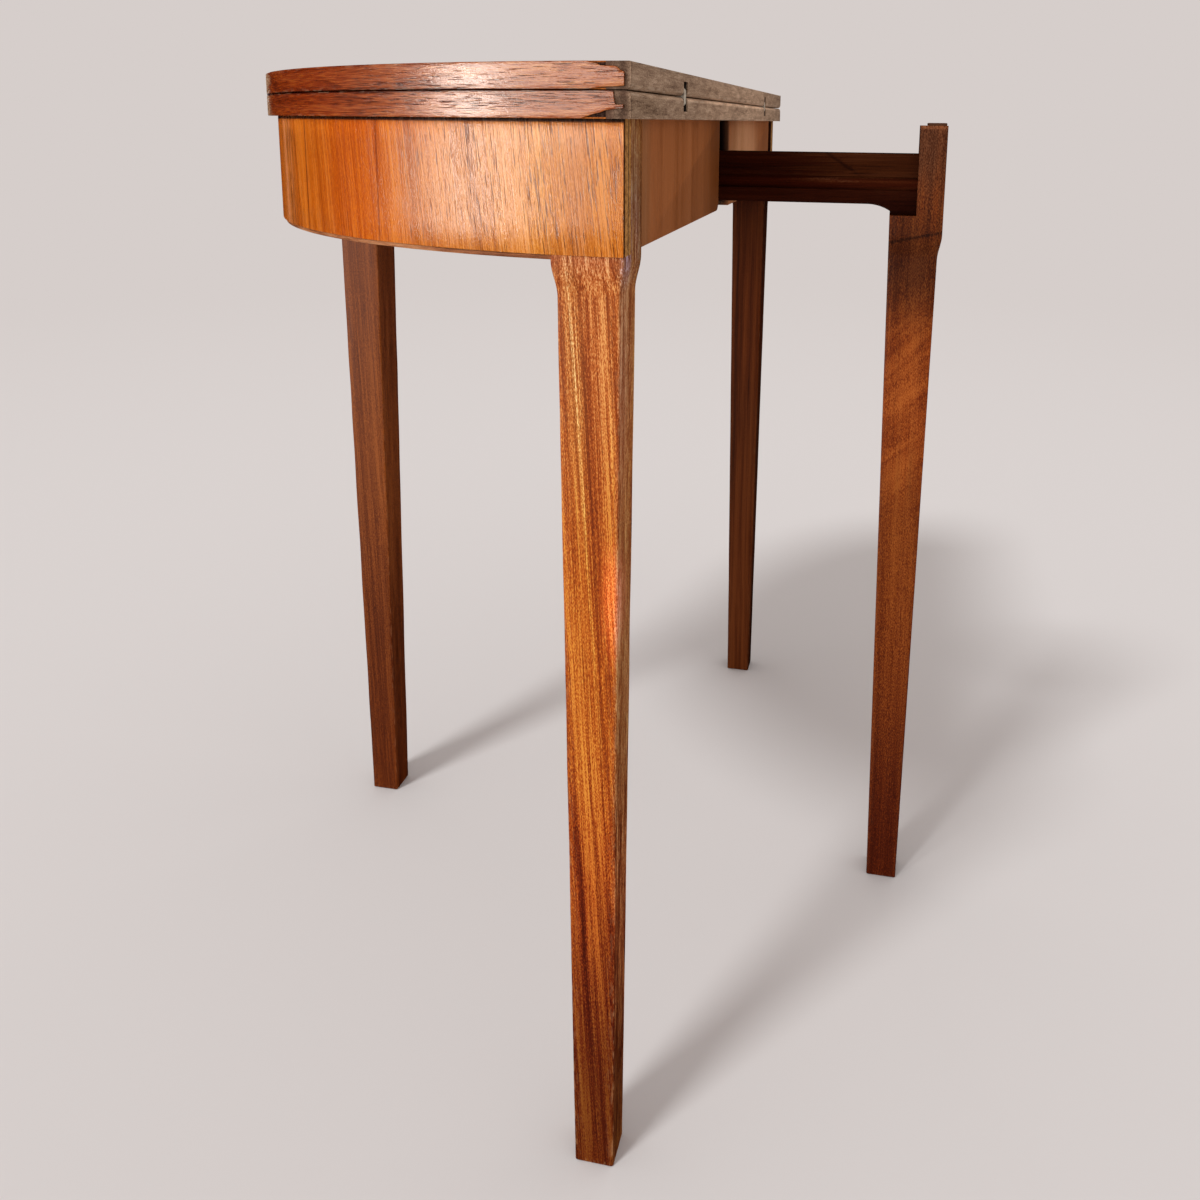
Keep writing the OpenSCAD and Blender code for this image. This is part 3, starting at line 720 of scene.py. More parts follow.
LEG_BROWN = Wood(
    "leg_brown", Grain.UPRIGHT,
    ((0.11, 0.02, 0.002), (0.2, 0.043, 0.005), (0.3, 0.078, 0.012)),
    stripe=3, lean=(0, 0.03), zones=0.5, stripes=0.45, hairs=0.6, grit=0.8, lines=0.3,
    pores=0.4, pore_size=(0.5, 3), wear=(0.35, 0.15, 0.07), bump=0.1,
    # Painted shade: the front leg is made darker towards its foot
    patches=(Patch((-12, -354, 0), (60, 60, 260), (0.6, 0.46, 0.2)),
             Patch((-12, -354, 600), (60, 60, 160), (0.93, 0.92, 1.05))))
SLIDE_LEG = Wood(
    "slide_leg", Grain.UPRIGHT,
    ((0.09, 0.011, 0.0004), (0.15, 0.025, 0.0015), (0.22, 0.043, 0.004), (0.31, 0.08, 0.01)),
    stripe=5, wander=1.6, zones=0.5, stripes=0.25, hairs=0.35, grit=1, lines=0.3,
    pores=0.4, pore_size=(0.5, 4), flame=0.5, flame_pitch=18, flame_slope=-0.9,
    flame_span=(480, 110), wear=(0.3, 0.12, 0.05), bump=0.1,
    # Painted light and shade in the first four patches: a lighter band over the curly figure,
    # partly the figure's own colour; darker towards the foot; darker near the top, under the table
    # top
    patches=(Patch((12, 165, 470), (60, 60, 90), (1.5, 1.5, 1.8), 0.9, ragged=1),
             Patch((12, 165, 0), (60, 60, 200), (0.5, 0.32, 0.16)),
             Patch((12, 170, 690), (60, 60, 60), (0.49, 0.69, 2.3)),
             Patch((12, 165, 592), (60, 60, 58), (0.42, 0.42, 0.6), ragged=0.8),
             Patch((12, 167, 611), (60, 7.5, 14), (0.42, 0.37, 0.34), 1, (0, 4.4), 0.5),
             Patch((30, 178, 703), (30, 30, 3), (1.8, 2, 2.2))))
RAIL_WOOD = Wood(
    "rail_wood", Grain.FRONT_TO_BACK,
    ((0.01, 0.0009, 0.0001), (0.022, 0.0026, 0.0003), (0.038, 0.006, 0.0012)),
    stripe=4, wander=3, zones=0.5, stripes=0.3, pores=0.3, rough=0.6, shine=0.03,
    wear=(0.06, 0.02, 0.008), bump=0.1,
    patches=(Patch((25, 130, 668), (40, 70, 14), (2.4, 4.6, 8), ragged=2.5),
             Patch((25, 104, 671), (40, 3.2, 11), (0.4, 0.3, 0.3), 0.8, (0, -1.5), 1.6),
             Patch((25, 123, 663), (40, 14, 1.4), (0.5, 0.4, 0.4), 0.7, (0, 0), 1.2),
             # Painted light: the groove's floor is made lighter against the shade that falls in
             # the groove
             Patch((19, 60, 654.6), (3, 400, 5.4), (1.8, 1.6, 1.6), ragged=0.4),
             Patch((19, 90, 656.5), (4, 22, 2.2), (1.8, 3, 5), ragged=4)))
HIDDEN_WOOD = Wood(
    "hidden_wood", Grain.ALONG_BACK,
    ((0.2, 0.1, 0.04), (0.32, 0.18, 0.075), (0.42, 0.26, 0.12)),
    stripe=6, wander=2, pores=0.4, rough=0.7)
DOWEL_WOOD = Wood(
    "dowel_wood", Grain.FRONT_TO_BACK,
    ((0.4, 0.25, 0.11), (0.5, 0.33, 0.16), (0.58, 0.41, 0.22)),
    stripe=2, wander=0.3, pores=0.3, rough=0.7)
PAD_FELT = Felt("pad_felt", (0.05, 0.018, 0.008), (0.13, 0.055, 0.028))
HINGE_DARK = Metal("hinge_dark", (0.05, 0.035, 0.028), (0.015, 0.01, 0.008), 0.6, 0.3)
HINGE_PALE = Metal("hinge_pale", (0.9, 0.82, 0.68), (0.6, 0.5, 0.38), 0.4, 0.15)
SCREW_STEEL = Metal("screw_steel", (0.55, 0.48, 0.33), (0.3, 0.25, 0.17), 0.45, 0.5)


# ---------------------------------------------------------------- shapes

# Points closer together than this, in metres, become one
WELD = 0.4e-5
# Edges that turn by more degrees than this stay sharp
SHARP = 32.0


def add_object(name: str, data: bpy.types.ID) -> bpy.types.Object:
    """Put a new object into the scene.

    Args:
        name: what the object is called.
        data: the mesh, light or camera that it holds.

    Returns:
        The object.
    """
    made = bpy.data.objects.new(name, data)
    bpy.context.scene.collection.objects.link(made)
    return made


def skin(node: str, body: str, finish: Finish, rings: Sequence[Ring],
         ) -> bpy.types.Object:
    """Skin a row of closed outlines as a dressed piece that stands for a plain solid.

    Args:
        node: the plain solid, whose name with "_finished" added the piece takes.
        body: the body that it moves with.
        finish: how its surface looks.
        rings: its outlines from end to end, with equally many points each.

    Returns:
        The finished piece, closed at both ends.
    """
    name = node + "_finished"
    points = [place(x, y, z) for ring in rings for x, y, z, _ in ring]
    wear = [worn for ring in rings for _, _, _, worn in ring]
    count, total = len(rings[0]), len(points)
    faces: list[tuple[int, ...]] = []
    for low in range(0, total - count, count):
        high = low + count
        for i in range(count):
            j = (i + 1) % count
            faces.append((low + i, low + j, high + j, high + i))
    faces += [tuple(range(count - 1, -1, -1)), tuple(range(total - count, total))]
    mesh = bpy.data.meshes.new(name)
    mesh.from_pydata(points, [], faces)
    work = bmesh.new()
    work.from_mesh(mesh)
    layer = work.verts.layers.float.new("wear")
    for vert, worn in zip(work.verts, wear):
        vert[layer] = worn
    bmesh.ops.remove_doubles(work, verts=work.verts, dist=WELD)
    bmesh.ops.dissolve_degenerate(work, edges=work.edges, dist=WELD)
    bmesh.ops.recalc_face_normals(work, faces=work.faces)
    work.to_mesh(mesh)
    work.free()
    mesh.shade_smooth()
    mesh.set_sharp_from_angle(angle=math.radians(SHARP))
    mesh.materials.append(finish.material())
    made = add_object(name, mesh)
    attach(made, body)
    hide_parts(node)
    LOG.info("made %s: %d faces, rides on %s", name, len(mesh.polygons), body)
    return made


def arris(face: float, edge: float, ease: float, wear: Sequence[float]) -> Outline:
    """Lay out the worn arris between an outer face and the underside, or the top, of a section.

    Args:
        face: how far out the face lies.
        edge: the height of the underside or the top.
        ease: how wide the arris is, with a minus for one at the top.
        wear: how worn its three points are, from below or above round to the face.

    Returns:
        Each point's distance out, height and wear, from the lowest up.
    """
    wide = abs(ease)
    points = [(face - wide, edge, wear[0]), (face - 0.3 * wide, edge + 0.3 * ease, wear[1]),
              (face, edge + ease, wear[2])]
    return points if ease > 0 else points[::-1]


def eased_box(x0: float, x1: float, y0: float, y1: float, radii: Sequence[float],
              side: int = 4, steps: int = 4) -> Outline:
    """Lay out a rectangle with rounded corners, always with equally many points.

    Args:
        x0: its lowest x.
        x1: its highest x.
        y0: its lowest y.
        y1: its highest y.
        radii: the corners' radii, from the one at x1, y0 and on anticlockwise.
        side: how many points lie between two corners.
        steps: how many facets a corner has.

    Returns:
        Each point's x, y and wear, which is 1 in the middle of a corner and less at its ends.
    """
    corners = ((x1, y0, -1, 1, -90), (x1, y1, -1, -1, 0), (x0, y1, 1, -1, 90), (x0, y0, 1, 1, 180))
    arcs: list[Outline] = []
    for (x, y, sx, sy, start), radius in zip(corners, radii):
        turns = [math.radians(start + 90 * i / steps) for i in range(steps + 1)]
        arcs.append([(x + sx * radius + radius * math.cos(turn),
                      y + sy * radius + radius * math.sin(turn),
                      1.0 - abs(2 * i / steps - 1) * 0.75) for i, turn in enumerate(turns)])
    outline: Outline = []
    for arc, following in zip(arcs, arcs[1:] + arcs[:1]):
        (ax, ay, _), (bx, by, _) = arc[-1], following[0]
        shares = [i / (side + 1) for i in range(1, side + 1)]
        outline += arc
        outline += [(between(ax, bx, share), between(ay, by, share), 0.0) for share in shares]
    return outline


def dress(finish: Finish, *nodes: str, ease: float = 0.0) -> None:
    """Give carried-over solids a finish and, if asked, eased arrises.

    Args:
        finish: how their surfaces look.
        nodes: the solids' names.
        ease: the width of their arrises in mm, or 0 to leave them.
    """
    for name in nodes:
        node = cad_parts[name]
        node.data.materials.clear()
        node.data.materials.append(finish.material())
        if ease:
            bevel = node.modifiers.new("eased", "BEVEL")
            bevel.width = ease * MM
            bevel.segments = 2
            bevel.limit_method = "ANGLE"
            bevel.angle_limit = math.radians(50)
        LOG.info("dressed %s with %s", name, finish.name)


# ---------------------------------------------------------------- legs


@dataclass
class Leg:
    """A square tapered leg, swelling at its shoulder, with a head or tongue above it.

    Its outer sides swell by `swell` and its inner one by `swell_in`, over a `flare` that ends
    `block` below its top. `head` draws its outline in above the top, and `row` is how far apart
    the outlines of its taper lie.
    """

    node: str
    body: str
    slot: str
    finish: Finish
    middle: Flat
    width: float
    top: float
    head_top: float
    head: Callable[[float, float], Flat]
    foot: float = 27.0
    swell: float = 3.0
    swell_in: float = 3.0
    block: float = 3.0
    flare: float = 22.0
    ease: float = 1.3
    unevenness: float = 0.55
    row: float = 14.0
    # The worn foot's outlines: how high each is and how far it is drawn in
    foot_rows: tuple[Flat, ...] = ((0.0, 1.6), (0.25, 0.8), (0.9, 0.0), (2.2, 0.0), (4.0, 0.0))
    foot_wear: float = 0.5
    head_wear: float = 0.5

    @property
    def shoulder(self) -> float:
        """Return the height at which the leg starts to swell."""
        return self.top - self.block - self.flare

    def half(self, z: float, swell: float) -> float:
        """Find half the leg's width.

        Args:
            z: the height.
            swell: how far the side swells.

        Returns:
            How far the side stands from the leg's middle.
        """
        if swell <= 0:
            return between(self.foot / 2, self.width / 2, min(z / self.top, 1.0))
        if z <= self.shoulder:
            return between(self.foot / 2, self.width / 2 - swell, z / self.shoulder)
        share = min((z - self.shoulder) / self.flare, 1.0)
        return self.width / 2 - swell * (1 + math.cos(math.pi * share)) / 2

    def section(self, z: float, inset: float = 0.0) -> Outline:
        """Lay out the leg's outline, with its arrises worn unevenly.

        Args:
            z: the height.
            inset: how far the outline is drawn in.

        Returns:
            The outline.
        """
        side, inner = self.half(z, self.swell) - inset, self.half(z, self.swell_in) - inset
        x, y = self.middle
        # Each arris is worn in its own way up the leg
        uneven = [1 + self.unevenness * ripple(z / 45, 7.0 * i, x / 100) for i in range(4)]
        radii = [max(self.ease * share, 0.4) + inset for share in uneven]
        return eased_box(x - side, x + side, y - inner, y + side, radii)

    def heights(self) -> list[float]:
        """Choose the heights at which the leg's outline is drawn.

        Returns:
            The heights, from above the foot to the top.
        """
        start = self.shoulder if self.swell > 0 else self.top
        count = round(start / self.row)
        rows = [between(8.0, start, i / count) for i in range(count + 1)]
        if self.swell > 0:
            rows += [start + self.flare * i / 12 for i in range(1, 13)] + [self.top]
        return rows

    def build(self) -> bpy.types.Object:
        """Make the leg and stand it in place of its plain solid.

        Returns:
            The leg.
        """
        rings: list[Ring] = []
        for z, inset in [*self.foot_rows, *[(z, 0.0) for z in self.heights()]]:
            more = self.foot_wear if z < 3 else 0.0
            rings.append([(x, y, z, min(w + more, 1.0)) for x, y, w in self.section(z, inset)])
        for z in (self.top, between(self.top, self.head_top, 0.5), self.head_top):
            rings.append([(*self.head(x, y), z, w * self.head_wear)
                          for x, y, w in self.section(self.top)])
        return skin(self.node, self.body, self.finish, rings)


@dataclass
class Legs:
    """The four legs: two at the back corners, one at the front and one that slides."""

    frame_top: float = 706.0
    apron_foot: float = 629.0
    lipping_foot: float = 626.0
    inside_apron: float = 354.7
    corner_x: float = 348.5
    corner_width: float = 44.0
    front_width: float = 38.0
    front_x: float = -12.0
    front_face: float = -373.0
    slide_x: float = 12.0
    slide_out: float = 189.0
    slide_block: float = 15.0
    tongue: float = 22.0
    tongue_top: float = 703.5

    def in_apron(self, x: float, y: float) -> Flat:
        """Draw a point of a head's outline in to the inside of the curved apron.

        Args:
            x: the point's x.
            y: the point's y.

        Returns:
            Where the point comes to lie.
        """
        away = math.hypot(x, y)
        if away <= self.inside_apron:
            return x, y
        return x * self.inside_apron / away, y * self.inside_apron / away

    def on_tongue(self, x: float, y: float) -> Flat:
        """Return a point of the tongue's outline, drawn in to its inner face."""
        return x, max(y, self.slide_out - self.tongue)

    def build(self) -> None:
        """Make all four legs."""
        half = self.corner_width / 2
        corner = (self.corner_width, self.apron_foot, self.frame_top, self.in_apron)
        for leg in (
                Leg("right_corner_leg", "frame", "leg_golden", LEG_GOLDEN,
                    (self.corner_x, -half), *corner),
                Leg("left_corner_leg", "frame", "leg_dark", LEG_DARK,
                    (-self.corner_x, -half), *corner),
                Leg("front_leg", "frame", "leg_brown", LEG_BROWN,
                    (self.front_x, self.front_face + self.front_width / 2), self.front_width,
                    self.lipping_foot, self.frame_top, self.in_apron, swell=0.0, swell_in=0.0),
                Leg("sliding_leg", "sliding_leg", "leg_dark", SLIDE_LEG,
                    (self.slide_x, self.slide_out - half), self.corner_width, self.apron_foot,
                    self.tongue_top, self.on_tongue, swell_in=0.0, block=self.slide_block)):
            leg.build()


# ---------------------------------------------------------------- slide


@dataclass
class Slide:
    """The rail that carries the sliding leg, and the pad on the leg's tongue."""

    middle_x: float = 12.0
    width: float = 26.0
    foot: float = 637.5
    top: float = 680.0
    inner_end: float = -130.0
    outer_end: float = 167.0
    leg_face: float = 145.0
    notch: float = 629.0
    groove: Flat = (649.5, 660.5)
    groove_depth: float = 6.0
    groove_ease: float = 0.4
    ease: float = 1.0
    # How far the inner end's arris is eased
    end_ease: float = 0.8
    bracket: float = 19.0
    bracket_radius: float = 36.0
    pad: tuple[float, float, float, float] = (-9.0, 33.0, 173.04, 188.04)
    # The pad's outlines from its foot up: how high each is and how far it is drawn in
    pad_rows: tuple[Flat, ...] = ((703.5, 0.3), (704.16, 0.0), (705.15, 0.0), (705.55, 0.35),
                                  (705.7, 0.9))
    pad_corner: float = 1.2
    pad_bulge: float = 0.12

    def foot_at(self, y: float) -> float:
        """Find the height of the rail's underside, with its bracket and the leg's notch.

        Args:
            y: the distance from the back of the frame.

        Returns:
            The height.
        """
        if y >= self.leg_face:
            return self.notch
        reach = max(y - (self.leg_face - self.bracket), 0.0)
        return self.foot - self.bracket_radius + math.sqrt(self.bracket_radius ** 2 - reach ** 2)

    def section(self, y: float, foot: float, inset: float = 0.0) -> Ring:
        """Lay out the rail's grooved outline at one place along it.

        Args:
            y: the place.
            foot: the height of its underside there.
            inset: how far the outline is drawn in.

        Returns:
            The outline.
        """
        low, high = self.groove
        x1 = self.middle_x + self.width / 2 - inset
        deep, lip = self.groove_depth, self.groove_ease
        foot, top = foot + inset, self.top - inset
        right = [*arris(x1, foot, self.ease, (0.3, 1.0, 0.3)), (x1, between(foot, low, 0.5), 0.0),
                 (x1, low - lip, 0.4), (x1 - lip, low, 0.4), (x1 - deep, low, 0.0),
                 (x1 - deep, high, 0.0), (x1 - lip, high, 0.4), (x1, high + lip, 0.4),
                 (x1, between(high, top, 0.5), 0.0), *arris(x1, top, -self.ease, (0.3, 1.0, 0.3))]
        both = right + [(2 * self.middle_x - x, z, w) for x, z, w in reversed(right)]
        return [(x, y, z, w) for x, z, w in both]

    def build_rail(self) -> None:
        """Make the grooved rail with its small curved bracket."""
        start, curve = self.inner_end + self.end_ease, self.leg_face - self.bracket
        rings = [self.section(self.inner_end, self.foot, self.end_ease)]
        along = [between(start, curve, i / 12) for i in range(13)]
        along += [curve + self.bracket * i / 10 for i in range(1, 10)]
        rings += [self.section(y, self.foot_at(y)) for y in along]
        rings += [self.section(self.leg_face, self.foot_at(self.leg_face - 0.01)),
                  self.section(self.leg_face, self.notch),
                  self.section(self.outer_end, self.notch)]
        skin("slide_rail", "sliding_leg", RAIL_WOOD, rings)

    def build_pad(self) -> None:
        """Make the thin pad, a little crushed where the leaf presses on it."""
        x0, x1, y0, y1 = self.pad
        rings: list[Ring] = []
        for z, inset in self.pad_rows:
            outline = eased_box(x0 + inset, x1 - inset, y0 + inset, y1 - inset,
                                [self.pad_corner] * 4, side=8)
            rings.append([(x + self.pad_bulge * ripple(x / 5, y / 5), y, z, w)
                          for x, y, w in outline])
        skin("leaf_rest_pad", "sliding_leg", PAD_FELT, rings)

    def build(self) -> None:
        """Make the rail and the pad, and dress what holds them together."""
        self.build_rail()
        self.build_pad()
        dress(DOWEL_WOOD, "rail_dowels", "stop_peg")


# ---------------------------------------------------------------- top


@dataclass
class TableTop:
    """The two half-round leaves, folded one over the other."""

    radius: float = 386.0
    middle_y: float = 7.0
    band: float = 1.5
    band_ease: float = 0.55
    band_unevenness: float = 0.5
    band_steps: int = 300
    # How far the band's even part stays from its broken end and from its far one
    band_gaps: Flat = (2.0, 3.4)
    foot: float = 706.0
    thick: float = 15.0
    fold: float = 721.3
    strip: float = 14.0
    strip_ease: float = 0.9
    # How far from the lower arris the strip's two faces have their next point
    strip_hem: float = 3.0
    # How far apart the strip's outlines lie
    strip_row: int = 20
    pin: Flat = (3.8, 717.8)
    # The radius of the straight edge's round arris at the fold, about the pin
    rounding: float = 3.2
    hinge_x: float = 228.0
    pocket: float = 15.2
    cup_back: float = -4.8
    cup_foot: float = 711.4
    # The broken near end of each band: distance along it, lowest and highest edge left
    lower_break: tuple[Point, ...] = (
        (4.1, 711.7, 713.6), (6.2, 711.4, 713.5), (8.5, 711.3, 713.6), (8.9, 711.2, 715.4),
        (9.3, 711.2, 717.4), (9.5, 711.2, 719.4), (9.9, 711.1, 721.0), (13.6, 710.7, 721.0),
        (17.0, 709.3, 721.0), (19.5, 708.9, 721.0), (22.6, 708.0, 721.0), (26.7, 706.6, 721.0),
        (28.5, 706.0, 721.0))
    upper_break: tuple[Point, ...] = (
        (3.6, 723.6, 730.9), (4.2, 723.4, 731.1), (5.8, 723.3, 731.8), (7.2, 723.1, 733.3),
        (9.1, 723.0, 733.9), (13.0, 722.9, 734.0), (16.9, 722.7, 734.2), (19.0, 722.4, 735.2),
        (22.0, 721.9, 735.8), (24.0, 721.7, 736.6), (26.5, 721.6, 736.6))

    def height(self, z: float, upper: bool) -> float:
        """Return a height of the lower leaf, or of the upper one that mirrors it."""
        return 2 * self.fold - z if upper else z

    def owner(self, upper: bool) -> tuple[str, str]:
        """Return what the names of a leaf's pieces start with, and the body it moves with."""
        return ("upper_leaf", "upper_leaf") if upper else ("lower_leaf", "frame")

    def band_section(self, along: float, low: float, high: float) -> Ring:
        """Lay out the band's outline at a distance along the curve from its near end.

        Args:
            along: the distance, in mm.
            low: its lower edge.
            high: its upper edge.

        Returns:
            The outline.
        """
        out, inside = self.radius, self.radius - self.band
        uneven = 1 + self.band_unevenness * ripple(along / 30, low / 9)
        ease = min(self.band_ease * uneven, (high - low) / 3)
        section = [(inside, low, 0.0), *arris(out, low, ease, (0.3, 1.0, 0.4)),
                   *[(out, between(low + ease, high - ease, i / 6), 0.0) for i in range(1, 6)],
                   *arris(out, high, -ease, (0.3, 1.0, 0.4)), (inside, high, 0.0)]
        turn = along / self.radius
        return [(r * math.cos(turn), self.middle_y - r * math.sin(turn), z, w)
                for r, z, w in section]

    def build_band(self, upper: bool) -> None:
        """Make one leaf's edge band, broken away at its near end as the real one is.

        Args:
            upper: whether the leaf is the upper one.
        """
        low, high = sorted(self.height(z, upper) for z in (self.foot, self.foot + self.thick))
        broken = self.upper_break if upper else self.lower_break
        full = math.pi * self.radius
        first, last = broken[-1][0] + self.band_gaps[0], full - self.band_gaps[1]
        rows = list(broken)
        rows += [(between(first, last, i / self.band_steps), low, high)
                 for i in range(self.band_steps + 1)]
        # The far end follows the round arris of the straight edge
        for i in range(1, 9):
            along = full - self.rounding * (1 - i / 8)
            y = self.middle_y - self.radius * math.sin(along / self.radius)
            drop = max(y - self.pin[0], 0.0)
            edge = self.pin[1] + math.sqrt(max(self.rounding ** 2 - drop ** 2, 0.0))
            rows.append((along, self.height(edge, True), high) if upper else (along, low, edge))
        leaf, body = self.owner(upper)
        skin(leaf + "_edge_band", body, EDGE_BAND,
             [self.band_section(*row) for row in rows])

    def strip_outline(self) -> tuple[Outline, Outline]:
        """Lay out the strip's section, whole and where a hinge is let in.

        Returns:
            Each point's Y, Z and wear for the whole outline, and the one at a hinge.
        """
        y0, y1 = self.middle_y - self.strip, self.middle_y
        low, high = self.foot, self.foot + self.thick
        pin_y, pin_z = self.pin
        back, floor, r = self.cup_back, self.cup_foot, self.rounding
        base = [(y0, low, 0.3), (back, low, 0.0), (0.0, low, 0.0), (y1 - self.strip_hem, low, 0.0),
                *arris(y1, low, self.strip_ease, (0.4, 1.0, 0.4)), (y1, low + self.strip_hem, 0.0),
                (y1, floor, 0.0)]
        turns = [math.radians(15 * i) for i in range(1, 7)]
        side = [*[(y1, between(floor, pin_z, i / 3), 0.0) for i in range(1, 4)],
                *[(pin_y + r * math.cos(turn), pin_z + r * math.sin(turn), 0.7) for turn in turns],
                *[(between(pin_y, back, i / 3), high, 0.0) for i in range(1, 4)]]
        # The pocket has as many points as the side that it takes away, and the same wear
        half = len(side) // 2
        pocket = [(between(y1, back, i / half), floor) for i in range(1, half + 1)]
        half = len(side) - half
        pocket += [(back, between(floor, high, i / half)) for i in range(1, half + 1)]
        cut = [(*spot, w) for spot, (_, _, w) in zip(pocket, side)]
        rest = [(y0, high, 0.2), (y0, between(high, low, 0.5), 0.0)]
        return base + side + rest, base + cut + rest

    def strip_end(self, side: int, outline: Outline, upper: bool) -> Ring:
        """Return the strip's outline where it meets the band, on the side of -X or +X."""
        inside = self.radius - self.band
        return [(side * math.sqrt(inside ** 2 - (y - self.middle_y) ** 2), y,
                 self.height(z, upper), 0.0) for y, z, _ in outline]

    def build_strip(self, upper: bool) -> None:
        """Make the solid strip along one leaf's straight edge, with its hinge pockets.

        Args:
            upper: whether the leaf is the upper one.
        """
        whole, notched = self.strip_outline()
        stations: list[tuple[float, Outline]] = []
        for middle in (-self.hinge_x, self.hinge_x):
            start, end = middle - self.pocket / 2, middle + self.pocket / 2
            stations += [(start, whole), (start, notched), (end, notched), (end, whole)]
        reach = int(self.radius) // self.strip_row * self.strip_row
        stations += [(x, whole) for x in range(-reach, reach + 1, self.strip_row)
                     if abs(abs(x) - self.hinge_x) > self.pocket]
        stations.sort(key=lambda station: station[0])
        rings = [self.strip_end(-1, whole, upper),
                 *[[(x, y, self.height(z, upper), w) for y, z, w in outline]
                   for x, outline in stations],
                 self.strip_end(1, whole, upper)]
        leaf, body = self.owner(upper)
        skin(leaf + "_hinge_strip", body, EDGE_STRIP, rings)

    def build(self) -> None:
        """Make both leaves' bands and strips, and dress their cores and faces."""
        for upper in (False, True):
            self.build_band(upper)
            self.build_strip(upper)
        dress(LEAF_CORE, "lower_leaf", "upper_leaf")
        dress(FACE_VENEER, "lower_leaf_top_veneer", "lower_leaf_under_veneer",
              "upper_leaf_inner_veneer", "upper_leaf_outer_veneer")


@dataclass
class Hinges:
    """The two link hinges let into the straight edges of the leaves."""

    cup_ease: float = 0.25
    link_ease: float = 0.4

    def build(self) -> None:
        """Dress the cups, links, pins and screws."""
        dress(HINGE_DARK, "right_lower_hinge_cup", "left_lower_hinge_cup",
              "right_upper_hinge_cup", "left_upper_hinge_cup", ease=self.cup_ease)
        dress(HINGE_PALE, "right_hinge_link", "left_hinge_link", ease=self.link_ease)
        dress(HINGE_PALE, "lower_hinge_pins", "upper_hinge_pins")
        dress(SCREW_STEEL, "lower_hinge_screws", "upper_hinge_screws")


# ---------------------------------------------------------------- frame


@dataclass
class Apron:
    """The curved front: a face veneer over four plies, with a strip under it."""

    radius: float = 373.0
    foot: float = 629.0
    top: float = 706.0
    # Each layer from the outside in: its solid, thickness, arris, slot and finish
    layers: tuple[tuple[str, float, float, str, Finish], ...] = (
        ("apron_face_veneer", 0.8, 0.5, "apron_veneer", APRON_VENEER),
        ("apron_outer_ply", 3.6, 0.12, "dark_ply", DARK_PLY),
        ("apron_middle_ply", 6.4, 0.12, "light_ply", LIGHT_PLY),
        ("apron_inner_ply", 2.2, 0.12, "mid_ply", MID_PLY),
        ("apron_backing_ply", 5.0, 0.12, "light_ply", LIGHT_PLY))
    # The strip's outer and inner radius, lower and upper edge, ends and arris
    lipping: tuple[float, ...] = (371.0, 359.0, 626.0, 629.0, 44.0, 0.8)
    steps: int = 240

    def layer(self, outer: float, inner: float, low: float, high: float, cut: float,
              ease: float) -> list[Ring]:
        """Bend a flat bar round the front.

        Args:
            outer: its outer radius.
            inner: its inner radius.
            low: its lower edge.
            high: its upper edge.
            cut: how far from the back of the frame its ends stop.
            ease: the width of its outer arrises.

        Returns:
            The bent bar's outlines from end to end.
        """
        section = [(inner, low, 0.0), *arris(outer, low, ease, (0.2, 0.8, 0.2)),
                   *[(outer, between(low, high, i / 4), 0.0) for i in range(1, 4)],
                   *arris(outer, high, -ease, (0.2, 0.5, 0.2)), (inner, high, 0.0)]
        rings: list[Ring] = []
        for i in range(self.steps + 1):
            ring = []
            for r, z, w in section:
                start = math.asin(cut / r)
                turn = between(start, math.pi - start, i / self.steps)
                ring.append((r * math.cos(turn), -r * math.sin(turn), z, w))
            rings.append(ring)
        return rings

    def build(self) -> None:
        """Make the veneer, the plies and the strip under them."""
        outer = self.radius
        for node, thick, ease, slot, finish in self.layers:
            skin(node, "frame", finish,
                 self.layer(outer, outer - thick, self.foot, self.top, 0.0, ease))
            outer -= thick
        skin("apron_lipping", "frame", LIPPING, self.layer(*self.lipping))


@dataclass
class BackPanels:
    """The two flat panels across the back, with the slide's slot between them."""

    low: float = 630.0
    high: float = 706.0
    thick: float = 16.0
    right: Flat = (36.5, 326.5)
    left: Flat = (-326.5, -12.5)
    # The radius of the lower corner at the slot, of the other lower corner and of the upper ones
    corners: Point = (8.0, 0.6, 0.3)
    # The front arrises' outlines: how far back each is and how far it is drawn in
    rows: tuple[Flat, ...] = ((0.0, 0.5), (0.15, 0.15), (0.5, 0.0))

    def build(self) -> None:
        """Make both panels, rounded where they meet the slot."""
        slot, away, upper = self.corners
        for node, (x0, x1), radii in (
                ("right_back_panel", self.right, (away, upper, upper, slot)),
                ("left_back_panel", self.left, (slot, upper, upper, away))):
            rings: list[Ring] = []
            for back, inset in (*self.rows, (self.thick, 0.0)):
                outline = eased_box(x0 + inset, x1 - inset, self.low + inset, self.high,
                                    [max(r - inset, 0.1) for r in radii], side=10, steps=8)
                rings.append([(x, -back, z, w) for x, z, w in outline])
            skin(node, "frame", BACK_VENEER, rings)


@dataclass
class InnerFrame:
    """The blocks, guides, dowels and screws inside the frame."""

    # Each finish and the solids that have it
    dressed: tuple[tuple[Finish, tuple[str, ...]], ...] = (
        (HIDDEN_WOOD, ("right_corner_block", "left_corner_block", "stop_block",
                       "right_back_fixing_block", "left_back_fixing_block",
                       "right_front_fixing_block", "left_front_fixing_block")),
        (RAIL_WOOD, ("right_guide_cheek", "left_guide_cheek")),
        (MID_PLY, ("right_runner", "left_runner")),
        (DOWEL_WOOD, ("panel_dowels", "cheek_dowels")),
        (SCREW_STEEL, ("leg_screws", "runner_screws", "stop_screws", "fixing_screws")))

    def build(self) -> None:
        """Dress everything that the frame hides."""
        for finish, nodes in self.dressed:
            dress(finish, *nodes)


# ---------------------------------------------------------------- studio


class LampKind(Enum):
    """What sort of lamp Blender hangs."""

    SUN = "SUN"
    AREA = "AREA"


